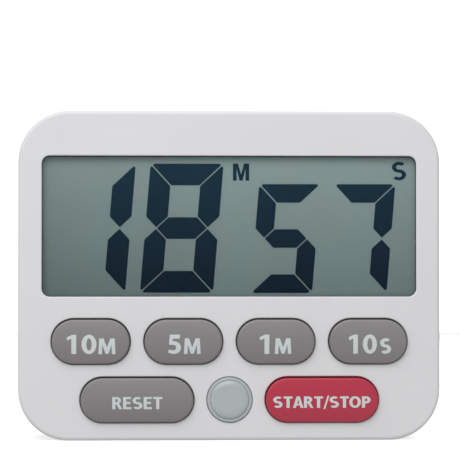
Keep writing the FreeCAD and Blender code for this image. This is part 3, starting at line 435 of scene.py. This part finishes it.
def cell_sleeve(name):
    """A dark printed sleeve with a copper band, which starts at each cell's positive end."""
    material, tree, shader, place = start_finish(name, 0.25, 0.6)
    split = tree.nodes.new("ShaderNodeSeparateXYZ")
    tree.links.new(place, split.inputs["Vector"])
    side = tree.nodes.new("ShaderNodeMath")
    side.operation = "SIGN"
    level = tree.nodes.new("ShaderNodeMath")
    level.operation = "SUBTRACT"
    level.inputs[1].default_value = middle("battery_cells").z
    tree.links.new(split.outputs["Z"], level.inputs[0])
    tree.links.new(level.outputs["Value"], side.inputs[0])
    along = tree.nodes.new("ShaderNodeMath")
    along.operation = "MULTIPLY"
    tree.links.new(split.outputs["X"], along.inputs[0])
    tree.links.new(side.outputs["Value"], along.inputs[1])
    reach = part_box("battery_cells")[1][0]
    share = spread(tree, along.outputs["Value"], -reach, reach, 0.0, 1.0)
    bands = ramp(tree, share, [(0.0, colour(30, 34, 44)), (0.70, colour(30, 34, 44)),
                               (0.705, colour(190, 120, 70)), (1.0, colour(196, 128, 76))])
    tree.links.new(bands, shader.inputs["Base Color"])
    bump(tree, shader, noise(tree, place, 1200.0), 0.1, GRAIN_HEIGHT)
    return material


lacquer = board_lacquer("board_lacquer")
sleeve = cell_sleeve("cell_sleeve")
print("board and cells ready")

# %% [markdown]
# ## Dressing the CAD nodes
# Every node that stays gets one of these finishes in all its material slots. The table below
# reads like a parts list. The lamp lens isn't in it, because a new piece will stand for it.

# %% Give every node its finish
FINISHES = {
    "front_case": case_plastic,
    "rear_case": case_plastic,
    "stand": case_plastic,
    "battery_door": case_plastic,
    "display_window": window_clear,
    "lcd_front_polariser": film,
    "lcd_front_glass": glass_clear,
    "lcd_rear_glass": glass_clear,
    "lcd_reflector": reflector,
    "display_holder": holder_plastic,
    "zebra_strip": rubber_dark,
    "case_screws": steel,
    "board_screws": steel,
    "magnets": nickel,
    "circuit_board": lacquer,
    "controller_chip": resin,
    "surface_mount_parts": resin,
    "mode_switch_lever": resin,
    "clock_crystal": tin,
    "mode_switch_body": tin,
    "mode_knob": lower_grey,
    "alarm_led": lamp_red,
    "buzzer_plate": brass,
    "buzzer_ceramic": ceramic,
    "buzzer_springs": steel,
    "battery_cells": sleeve,
    "battery_caps": tin,
    "battery_springs": tin,
    "link_contact": tin,
    "positive_contact": tin,
    "negative_contact": tin,
    "keypad_mat": silicone,
}
for key in KEYS:
    FINISHES[key + "_key"] = upper_grey if key in SMALL_KEYS else lower_grey
    FINISHES[key + "_plunger"] = silicone
    FINISHES[key + "_dome"] = silicone
    FINISHES[key + "_contact"] = rubber_dark
FINISHES["start_stop_key"] = red_plastic


def dress(node, material):
    mesh_object = nodes[node]
    if not mesh_object.material_slots:
        mesh_object.data.materials.append(material)
    for slot in mesh_object.material_slots:
        slot.material = material


for node, material in FINISHES.items():
    dress(node, material)
print("dressed", len(FINISHES), "nodes; left over:", set(nodes) - set(FINISHES))

# %% [markdown]
# ## Helpers for modelling
# A new primitive is selected all over, and the frame's own nodes start out selected, so
# everything is let go first. Each finished piece has its place in its mesh and its object at
# the origin, it rides on a CAD body, and it gets its finish.

# %% Modelling helpers
def let_go():
    if bpy.context.object and bpy.context.object.mode != "OBJECT":
        bpy.ops.object.mode_set(mode="OBJECT")
    bpy.ops.object.select_all(action="DESELECT")


def edit(thing):
    """Opens one object for editing, with nothing selected in it."""
    let_go()
    thing.select_set(True)
    bpy.context.view_layer.objects.active = thing
    bpy.ops.object.mode_set(mode="EDIT")
    bpy.ops.mesh.select_all(action="DESELECT")


def pick_faces(thing, keep):
    """Selects the faces for which keep(face) is true, and counts them."""
    bpy.ops.mesh.select_mode(type="FACE")
    bpy.ops.mesh.select_all(action="DESELECT")
    mesh = bmesh.from_edit_mesh(thing.data)
    chosen = [face for face in mesh.faces if keep(face)]
    for face in chosen:
        face.select_set(True)
    bmesh.update_edit_mesh(thing.data)
    return len(chosen)


def settle(thing):
    """Puts the object's place into its mesh."""
    let_go()
    thing.select_set(True)
    bpy.context.view_layer.objects.active = thing
    bpy.ops.object.transform_apply(location=True, rotation=True, scale=True)


def use_modifier(thing, kind, **settings):
    """Adds a modifier, sets it and applies it."""
    let_go()
    thing.select_set(True)
    bpy.context.view_layer.objects.active = thing
    bpy.ops.object.modifier_add(type=kind)
    modifier = thing.modifiers[-1]
    for name, value in settings.items():
        setattr(modifier, name, value)
    bpy.ops.object.modifier_apply(modifier=modifier.name)


def join(things, name):
    """Makes one object of several."""
    let_go()
    for thing in things:
        thing.select_set(True)
    bpy.context.view_layer.objects.active = things[0]
    if len(things) > 1:
        bpy.ops.object.join()
    whole = bpy.context.object
    whole.name = name
    whole.data.name = name
    return whole


def hand_over(thing, name, body, material):
    """Names a finished piece, gives it its finish and lets it ride on a body."""
    settle(thing)
    thing.name = name
    thing.data.name = name
    thing.data.materials.clear()
    thing.data.materials.append(material)
    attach(thing, body)
    print(name, "rides on", body, "with", len(thing.data.polygons), "faces")


print("modelling helpers ready")

# %% [markdown]
# ## The digits
# A liquid-crystal digit has seven bars. Each bar is cut at its ends: at the digit's outer
# corners two bars meet in a mitre, and at its waist three bars meet in points, always with a
# hair of a gap. One plane per bar is sliced by the bisect tool along those cuts, which is how a
# sign maker would trim them. The waist is at the middle of the digit, and a bar's cuts are
# lines at 45 degrees.

# %% The cuts of a seven-bar digit
GAP = 0.26 * MM
LEAN = 0.082
DIAGONAL = math.sqrt(0.5)


def slice_off(x, z, towards_x, towards_z):
    """Slices the whole open mesh at a point and throws away what lies in that direction."""
    bpy.ops.mesh.select_all(action="SELECT")
    bpy.ops.mesh.bisect(plane_co=(x, 0, z), plane_no=(towards_x, 0, towards_z),
                        clear_outer=True)


def make_bar(low_x, high_x, low_z, high_z, cuts):
    """A flat bar, trimmed by cuts of (x, z, direction x, direction z)."""
    let_go()
    bpy.ops.mesh.primitive_plane_add(size=1, rotation=(math.radians(90), 0, 0),
                                     location=((low_x + high_x) / 2, 0, (low_z + high_z) / 2))
    bar = bpy.context.object
    bar.scale = (high_x - low_x, high_z - low_z, 1)
    settle(bar)
    edit(bar)
    for x, z, towards_x, towards_z in cuts:
        slice_off(x, z, towards_x, towards_z)
    bpy.ops.object.mode_set(mode="OBJECT")
    return bar


def bars_of_digit(width, height, stroke):
    """For each of the seven bars: its rectangle, and its cuts with the gap taken off."""
    w, h, s = width / 2, height / 2, stroke
    g = GAP / 2 * DIAGONAL
    d = DIAGONAL
    bars = {}
    for name, side in (("top", 1), ("bottom", -1)):
        rectangle = (-w, w, min(side * h, side * (h - s)), max(side * h, side * (h - s)))
        bars[name] = (rectangle, [(-w + g, side * (h + g), -d, -side * d),
                                  (w - g, side * (h + g), d, -side * d)])
    waist = w - s / 2 - GAP * d
    bars["waist"] = ((-waist, waist, -s / 2, s / 2),
                     [(across * waist, 0, across * d, up * d)
                      for across in (-1, 1) for up in (-1, 1)])
    for across in (-1, 1):
        for up in (-1, 1):
            name = ("upper_" if up > 0 else "lower_") + ("right" if across > 0 else "left")
            columns = sorted((across * w, across * (w - s)))
            rows = sorted((0, up * h))
            tip = across * (w - s / 2)
            bars[name] = ((*columns, *rows), [
                (across * (w + g), up * (h - g), -across * d, up * d),
                (tip, up * GAP * d, -across * d, -up * d),
                (tip, up * GAP * d, across * d, -up * d),
            ])
    return bars


print("bars:", len(bars_of_digit(16.0 * MM, 28.0 * MM, 4.6 * MM)))

# %% [markdown]
# Each digit lights some of its bars. The bars are joined, a bevel of the vertices rounds the long
# tips at the digit's top and bottom well and the other corners a little, and Solidify gives the
# film its thickness. Then the digit leans to the right: every point moves sideways by a share of
# its height. A digit's size is given as its width, its height and the width of its bars.

# %% Make the four digits
LIT = {
    "1": ("upper_right", "lower_right"),
    "5": ("top", "upper_left", "waist", "lower_right", "bottom"),
    "7": ("top", "upper_right", "lower_right"),
    "8": ("top", "upper_left", "upper_right", "waist", "lower_left", "lower_right", "bottom"),
}
CORNER = 0.15 * MM
TIP = 0.90 * MM
INK_THICKNESS = 0.06 * MM
FILM_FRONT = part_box("lcd_front_polariser")[0][1]


def round_corners(thing, offset, keep):
    """Rounds the corners of a flat mesh for which keep(z) is true."""
    bpy.ops.mesh.select_mode(type="VERT")
    bpy.ops.mesh.select_all(action="DESELECT")
    mesh = bmesh.from_edit_mesh(thing.data)
    for corner in mesh.verts:
        corner.select_set(keep(corner.co.z))
    bmesh.update_edit_mesh(thing.data)
    bpy.ops.mesh.bevel(offset=offset, segments=3, affect="VERTICES")


def make_digit(name, figure, across, up, width, height, stroke):
    plan = bars_of_digit(width, height, stroke)
    bars = [make_bar(*plan[bar][0], plan[bar][1]) for bar in LIT[figure]]
    digit = join(bars, name)
    edit(digit)
    bpy.ops.mesh.select_all(action="SELECT")
    bpy.ops.mesh.remove_doubles(threshold=0.001 * MM)
    tip_level = height / 2 - TIP
    round_corners(digit, TIP, lambda z: abs(z) > tip_level)
    round_corners(digit, CORNER, lambda z: abs(z) < tip_level - TIP)
    bpy.ops.object.mode_set(mode="OBJECT")
    use_modifier(digit, "SOLIDIFY", thickness=INK_THICKNESS, offset=0.0)
    lean = Matrix.Identity(4)
    lean[0][2] = LEAN
    digit.data.transform(lean)
    digit.location = (across, FILM_FRONT - INK_THICKNESS / 2, up)
    hand_over(digit, name, "case", ink)


BIG = (16.5 * MM, 29.1 * MM, 4.88 * MM)
SMALL = (13.97 * MM, 24.6 * MM, 4.18 * MM)
make_digit("digit_ten_minutes", "1", -30.54 * MM, 47.76 * MM, *BIG)
make_digit("digit_minutes", "8", -10.71 * MM, 47.76 * MM, *BIG)
make_digit("digit_ten_seconds", "5", 12.75 * MM, 45.42 * MM, *SMALL)
make_digit("digit_seconds", "7", 29.66 * MM, 45.42 * MM, *SMALL)

# %% [markdown]
# ## Letters
# The print on a timer is a bold, plain sans-serif. A font file would be one way to get it, and
# drawing the few letters is another, which needs nothing from outside the file. Each outline
# below is for a letter one unit tall. It has straight corners, and its round stretches are arcs
# of ellipses: arc(centre x, centre z, width radius, height radius, from, to), in degrees. An S
# is the clearest case: two bowls, each with an outer and an inner arc, which swap places at its
# waist.

# %% Outlines of the letters
ARC_STEP = 12


def arc(x, z, wide, tall, start, end):
    """Points along an arc of an ellipse."""
    steps = max(2, round(abs(end - start) / ARC_STEP))
    turns = [math.radians(start + (end - start) * i / steps) for i in range(steps + 1)]
    return [(x + wide * math.cos(turn), z + tall * math.sin(turn)) for turn in turns]


def ring(width, stem, thin):
    """A round letter: the outer and the inner outline."""
    half = width / 2
    return [arc(half, 0.5, half, 0.51, 0, 348),
            arc(half, 0.5, half - stem, 0.51 - thin, 0, 348)]


def letter_s(width, stem, thin):
    wide, tall = (width - stem) / 2, (1 - thin) / 4
    outer, inner = (wide + stem / 2, tall + thin / 2), (wide - stem / 2, tall - thin / 2)
    middle_x, top_z, low_z = width / 2, 0.5 + tall, 0.5 - tall
    return [arc(middle_x, top_z, *outer, 38, 270) + arc(middle_x, low_z, *inner, 90, -145)
            + arc(middle_x, low_z, *outer, -145, 90) + arc(middle_x, top_z, *inner, 270, 38)]


def outlines(stem, thin):
    """Every letter that this object needs, as closed outlines; a second one is a hole."""
    return {
        "1": [[(0.5 - stem, 0), (0.5, 0), (0.5, 1), (0.5 - 0.85 * stem, 1), (0, 0.86),
               (0.04, 0.70), (0.5 - stem, 0.80)]],
        "0": ring(0.77, stem, thin),
        "O": ring(0.84, stem, thin),
        "5": [[(0.09, 1), (0.62, 1), (0.62, 1 - thin - 0.02), (0.25, 1 - thin - 0.02)]
              + arc(0.30, 0.325, 0.38, 0.335, 100, -115) + [(0, 0.06), (0.04, 0.225)]
              + arc(0.26, 0.325, 0.42 - stem, 0.335 - thin, -115, 100) + [(0.05, 0.475)]],
        "M": [[(0, 0), (0.06, 1), (0.34, 1), (0.5525, 0.42), (0.765, 1), (1.045, 1), (1.105, 0),
               (0.87, 0), (0.845, 0.60), (0.655, 0.02), (0.45, 0.02), (0.26, 0.60),
               (0.235, 0)]],
        "m": [[(0, 0), (0, 1), (0.29, 1), (0.465, 0.36), (0.64, 1), (0.93, 1), (0.93, 0),
               (0.725, 0), (0.725, 0.72), (0.55, 0), (0.38, 0), (0.205, 0.72), (0.205, 0)]],
        "S": letter_s(0.68, stem, thin),
        "R": [[(0, 0), (0, 1)] + arc(0.30, 0.72, 0.30, 0.28, 90, -58)
              + [(0.69, 0), (0.47, 0), (0.28, 0.41), (stem, 0.41), (stem, 0)],
              [(stem, 0.56), (stem, 1 - thin)]
              + arc(0.28, 0.70, 0.32 - stem, 0.30 - thin, 90, -90)],
        "P": [[(0, 0), (0, 1)] + arc(0.30, 0.69, 0.33, 0.31, 90, -90) + [(stem, 0.38), (stem, 0)],
              [(stem, 0.53), (stem, 1 - thin)]
              + arc(0.28, 0.69, 0.35 - stem, 0.31 - thin, 90, -90)],
        "E": [[(0, 0), (0, 1), (0.55, 1), (0.55, 1 - thin), (stem, 1 - thin), (stem, 0.6),
               (0.51, 0.6), (0.51, 0.6 - thin), (stem, 0.6 - thin), (stem, thin), (0.57, thin),
               (0.57, 0)]],
        "T": [[(0.32 - stem / 2, 0), (0.32 - stem / 2, 1 - thin), (0, 1 - thin), (0, 1),
               (0.64, 1), (0.64, 1 - thin), (0.32 + stem / 2, 1 - thin), (0.32 + stem / 2, 0)]],
        "A": [[(0, 0), (0.27, 1), (0.50, 1), (0.77, 0), (0.56, 0), (0.50, 0.22), (0.27, 0.22),
               (0.21, 0)], [(0.31, 0.37), (0.385, 0.73), (0.46, 0.37)]],
        "/": [[(0, -0.1), (0.30, 1.06), (0.43, 1.06), (0.13, -0.1)]],
    }


SPACE_AFTER = {"1": 0.27, "T": 0.03, "A": 0.03, "/": 0.02, "R": 0.05}
print("letters:", " ".join(outlines(0.25, 0.19)))

# %% [markdown]
# A flat curve with closed outlines fills itself, and leaves its holes open. Made a mesh, the
# word is stretched to the rectangle that it has to fill, so that its proportions can be set to
# a tenth of a millimetre. Solidify then makes it a thin solid, like a coat of print.

# %% Set a word
def lettering(text, left, right, bottom, top, stem=0.25, thin=0.19):
    """A flat mesh of some text, standing in the XZ plane and filling a rectangle."""
    shapes = outlines(stem, thin)
    curve = bpy.data.curves.new("word", "CURVE")
    curve.dimensions = "2D"
    curve.fill_mode = "BOTH"
    pen = 0.0
    for sign in text:
        for loop in shapes[sign]:
            spline = curve.splines.new("POLY")
            spline.points.add(len(loop) - 1)
            for point, (x, z) in zip(spline.points, loop):
                point.co = (pen + x, z, 0, 1)
            spline.use_cyclic_u = True
        pen += max(x for x, z in shapes[sign][0]) + SPACE_AFTER.get(sign, 0.08)
    let_go()
    words = bpy.data.objects.new("word", curve)
    bpy.context.collection.objects.link(words)
    words.select_set(True)
    bpy.context.view_layer.objects.active = words
    bpy.ops.object.convert(target="MESH")
    words = bpy.context.object
    words.rotation_euler.x = math.radians(90)
    settle(words)
    xs = [point.co.x for point in words.data.vertices]
    zs = [point.co.z for point in words.data.vertices]
    words.scale = ((right - left) / (max(xs) - min(xs)), 1, (top - bottom) / (max(zs) - min(zs)))
    words.location = (left - min(xs) * words.scale[0], 0, bottom - min(zs) * words.scale[2])
    settle(words)
    return words


def thicken(words, thickness):
    """Gives flat letters a back and sides."""
    edit(words)
    bpy.ops.mesh.select_all(action="SELECT")
    bpy.ops.mesh.remove_doubles(threshold=0.002 * MM)
    bpy.ops.object.mode_set(mode="OBJECT")
    use_modifier(words, "SOLIDIFY", thickness=thickness, offset=0.0)


print("words can be set")

# %% [markdown]
# Each digit pair has a unit letter beside its top. They are part of the same liquid-crystal
# film, so they use the same ink and thickness as the digits, and their strokes are a little
# thinner than those of the print on the keys.

# %% The letters on the display
DISPLAY_STROKES = (0.20, 0.17)


def display_letter(name, text, left, right, bottom, top):
    letter = lettering(text, left * MM, right * MM, bottom * MM, top * MM,
                       *DISPLAY_STROKES)
    thicken(letter, INK_THICKNESS)
    letter.location.y = FILM_FRONT - INK_THICKNESS / 2
    hand_over(letter, name, "case", ink)


display_letter("minutes_mark", "m", 0.85, 4.50, 58.50, 62.35)
display_letter("seconds_mark", "S", 36.88, 40.10, 58.62, 62.82)

# %% [markdown]
# The legends are printed on crowned keys, so they have to bend with them. The flat letters are
# sliced at many heights first, to have points all the way up, and then a Shrinkwrap pulls each
# point along Y onto the key. Solidify, working outwards, gives the print its thickness
# afterwards.

# %% Legends on the keys
PRINT_THICKNESS = 0.04 * MM
START_IN_FRONT = 2 * MM
SLICES = 14


def print_on_key(name, key, words, stem=0.25, thin=0.19):
    """words: (text, left, right, bottom, top) in millimetres from the key's middle."""
    centre = middle(key + "_key")
    pieces = []
    for text, left, right, bottom, top in words:
        pieces.append(lettering(text, centre.x + left * MM, centre.x + right * MM,
                                centre.z + bottom * MM, centre.z + top * MM, stem, thin))
    legend = join(pieces, name)
    legend.location.y = FACE_Y - START_IN_FRONT
    settle(legend)
    edit(legend)
    tops = [point.co.z for point in legend.data.vertices]
    low, high = min(tops), max(tops)
    for index in range(1, SLICES):
        level = low + (high - low) * index / SLICES
        bpy.ops.mesh.select_all(action="SELECT")
        bpy.ops.mesh.bisect(plane_co=(0, 0, level), plane_no=(0, 0, 1))
    bpy.ops.mesh.select_all(action="SELECT")
    bpy.ops.mesh.remove_doubles(threshold=0.002 * MM)
    bpy.ops.object.mode_set(mode="OBJECT")
    use_modifier(legend, "SHRINKWRAP", target=nodes[key + "_key"], wrap_method="PROJECT",
                 use_project_y=True, use_project_x=False, use_project_z=False,
                 use_negative_direction=False, use_positive_direction=True)
    use_modifier(legend, "SOLIDIFY", thickness=PRINT_THICKNESS, offset=0.0)
    hand_over(legend, name, key + "_key", legend_print)


FIGURES = (-2.70, 1.64)
SMALL_LETTER = (-2.70, 0.80)
print_on_key("ten_minute_legend", "ten_minute", [("10", -5.38, 1.33, *FIGURES),
                                                 ("M", 1.73, 5.60, *SMALL_LETTER)])
print_on_key("five_minute_legend", "five_minute", [("5", -3.44, -0.54, *FIGURES),
                                                   ("M", 0.11, 3.87, *SMALL_LETTER)])
print_on_key("one_minute_legend", "one_minute", [("1", -3.70, -1.50, *FIGURES),
                                                 ("M", -0.28, 3.45, *SMALL_LETTER)])
print_on_key("ten_second_legend", "ten_second", [("10", -4.43, 1.94, *FIGURES),
                                                 ("S", 2.66, 5.13, *SMALL_LETTER)])
print_on_key("reset_legend", "reset", [("RESET", -5.53, 5.69, -1.94, 0.80)], 0.22, 0.17)
print_on_key("start_stop_legend", "start_stop", [("START/STOP", -11.02, 10.88, -1.97, 1.00)],
             0.23, 0.18)

# %% [markdown]
# ## The painted shadow round the window
# Round the clear window lies a line of shade: dark above it, thinner at each side, and none
# below. A shadow can't be trusted to draw it at every angle, so a thin dark sheet of painted
# shadow is laid in the corner between the window and the wall.
# One plane is enough: its corners are rounded by a vertex bevel, an inset makes the frame, and
# the inner edge is pushed down before the middle is thrown away.

# %% Lay the painted shadow round the window
WINDOW_OVERLAP = 1.2 * MM
WINDOW_CORNER = 1.8 * MM
SLOT_SHADOW_SIDE = 0.16 * MM
SLOT_SHADOW_TOP = 0.30 * MM
SLOT_SHADOW_THICKNESS = 0.10 * MM
# A dark sheet of painted shadow for the line of shade round the window, not a real part.
slot_shadow_paint = moulded("slot_shadow_paint", colour(30, 24, 22), 0.7, 0.08, 0.3)


# The painted shadow: a dark frame, widest along the top of the window.
def make_slot_shadow(name):
    low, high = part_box("display_window")
    centre = middle("display_window")
    width = high[0] - low[0] - 2 * WINDOW_OVERLAP
    height = high[2] - low[2] - 2 * WINDOW_OVERLAP
    let_go()
    bpy.ops.mesh.primitive_plane_add(size=1, rotation=(math.radians(90), 0, 0),
                                     location=(centre.x, low[1] - SLOT_SHADOW_THICKNESS / 2, centre.z))
    shadow_frame = bpy.context.object
    shadow_frame.scale = (width, height, 1)
    settle(shadow_frame)
    edit(shadow_frame)
    bpy.ops.mesh.select_all(action="SELECT")
    bpy.ops.mesh.bevel(offset=WINDOW_CORNER, segments=8, affect="VERTICES")
    bpy.ops.mesh.inset(thickness=SLOT_SHADOW_SIDE, depth=0.0)
    inner = height - 2 * SLOT_SHADOW_SIDE
    shorter = (height - SLOT_SHADOW_TOP) / inner
    bpy.ops.transform.resize(value=(1, 1, shorter), center_override=tuple(centre))
    bpy.ops.transform.translate(value=(0, 0, -SLOT_SHADOW_TOP / 2))
    bpy.ops.mesh.delete(type="FACE")
    bpy.ops.object.mode_set(mode="OBJECT")
    use_modifier(shadow_frame, "SOLIDIFY", thickness=SLOT_SHADOW_THICKNESS, offset=0.0)
    hand_over(shadow_frame, name, "case", slot_shadow_paint)


make_slot_shadow("window_slot_shadow")

# %% [markdown]
# ## The lamp lens
# The lens is a milky plastic button with a flange that holds it behind the face. Its rim is a
# flat ring, and inside a fine groove a rounded shoulder climbs to the flat top, which is what
# catches the light as a crescent. It is drawn up from one thin cylinder: inset and extrude make
# the barrel, more insets the rim, the groove and the shoulder, and the same two tools hollow it
# from behind.

# %% Lamp finish
def milky_plastic(name, tone):
    material, tree, shader, place = start_finish(name, 0.22)
    drift = ramp(tree, noise(tree, place, 120.0), [(0.3, shade(tone, 0.97)), (0.7, tone)])
    tree.links.new(drift, shader.inputs["Base Color"])
    shader.inputs["Subsurface Weight"].default_value = 0.35
    shader.inputs["Subsurface Radius"].default_value = (0.0012, 0.0012, 0.0012)
    bump(tree, shader, noise(tree, place, 2500.0), 0.08, GRAIN_HEIGHT)
    return material


lens_plastic = milky_plastic("lens_plastic", colour(180, 187, 189))
print("made", lens_plastic.name)

# %% [markdown]
# Each step of the rim says how far to inset the front face and how far to raise it. The
# shoulder is a quarter of an ellipse in eight steps. The barrel stands a little proud of the
# face before the rim starts, and the pocket behind leaves a wall that lets the light through.
# Its flange meets the front wall from behind, level with the front of the keys' flanges.

# %% Model the lens
LENS_RADIUS = 5.04 * MM
LENS_PROUD = 0.15 * MM
LENS_WALL = 1.2 * MM
POCKET_DEPTH = 2.0 * MM
KEY_FLANGE = 1.0 * MM
RIM_STEPS = ((0.06, 0.16), (0.12, 0.06), (0.42, 0.0), (0.07, -0.12), (0.07, 0.10))
SHOULDER_WIDTH = 2.1 * MM
SHOULDER_RISE = 0.62 * MM
SHOULDER_STEPS = 8


def grow(thing, keep, inset=0.0, along=0.0):
    """Insets the chosen faces, or extrudes them along -Y, or both."""
    pick_faces(thing, keep)
    if inset:
        bpy.ops.mesh.inset(thickness=inset, depth=0.0)
    if along:
        bpy.ops.mesh.extrude_region_move(TRANSFORM_OT_translate={"value": (0, -along, 0)})


def step_in(thing, keep, inwards, climb):
    """Insets the chosen faces and then moves them along -Y."""
    grow(thing, keep, inset=inwards)
    pick_faces(thing, keep)
    bpy.ops.transform.translate(value=(0, -climb, 0))


def make_lens():
    low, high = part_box("lamp_lens")
    centre = middle("lamp_lens")
    flange_radius = (high[0] - low[0]) / 2
    flange_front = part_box("ten_minute_key")[1][1] - KEY_FLANGE
    thickness = high[1] - flange_front
    let_go()
    bpy.ops.mesh.primitive_cylinder_add(vertices=96, radius=flange_radius, depth=thickness,
                                        location=(centre.x, high[1] - thickness / 2, centre.z),
                                        rotation=(math.radians(90), 0, 0))
    lens = bpy.context.object
    settle(lens)
    edit(lens)

    def front(face):
        return face.normal.y < -0.9 and len(face.verts) > 4

    def back(face):
        return face.normal.y > 0.9 and len(face.verts) > 4

    rise = flange_front - (FACE_Y - LENS_PROUD)
    grow(lens, front, inset=flange_radius - LENS_RADIUS)
    grow(lens, front, along=rise)
    for inwards, climb in RIM_STEPS:
        step_in(lens, front, inwards * MM, climb * MM)
    for index in range(SHOULDER_STEPS):
        turn = math.radians(90) * index / SHOULDER_STEPS
        after = math.radians(90) * (index + 1) / SHOULDER_STEPS
        step_in(lens, front, SHOULDER_WIDTH * (math.cos(turn) - math.cos(after)),
                SHOULDER_RISE * (math.sin(after) - math.sin(turn)))
    grow(lens, back, inset=flange_radius - LENS_RADIUS + LENS_WALL)
    grow(lens, back, along=POCKET_DEPTH)
    bpy.ops.mesh.select_all(action="SELECT")
    bpy.ops.mesh.normals_make_consistent(inside=False)
    bpy.ops.object.mode_set(mode="OBJECT")
    bpy.ops.object.shade_smooth_by_angle(angle=math.radians(35))
    hand_over(lens, "milky_lamp_lens", "case", lens_plastic)
    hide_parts("lamp_lens")


make_lens()
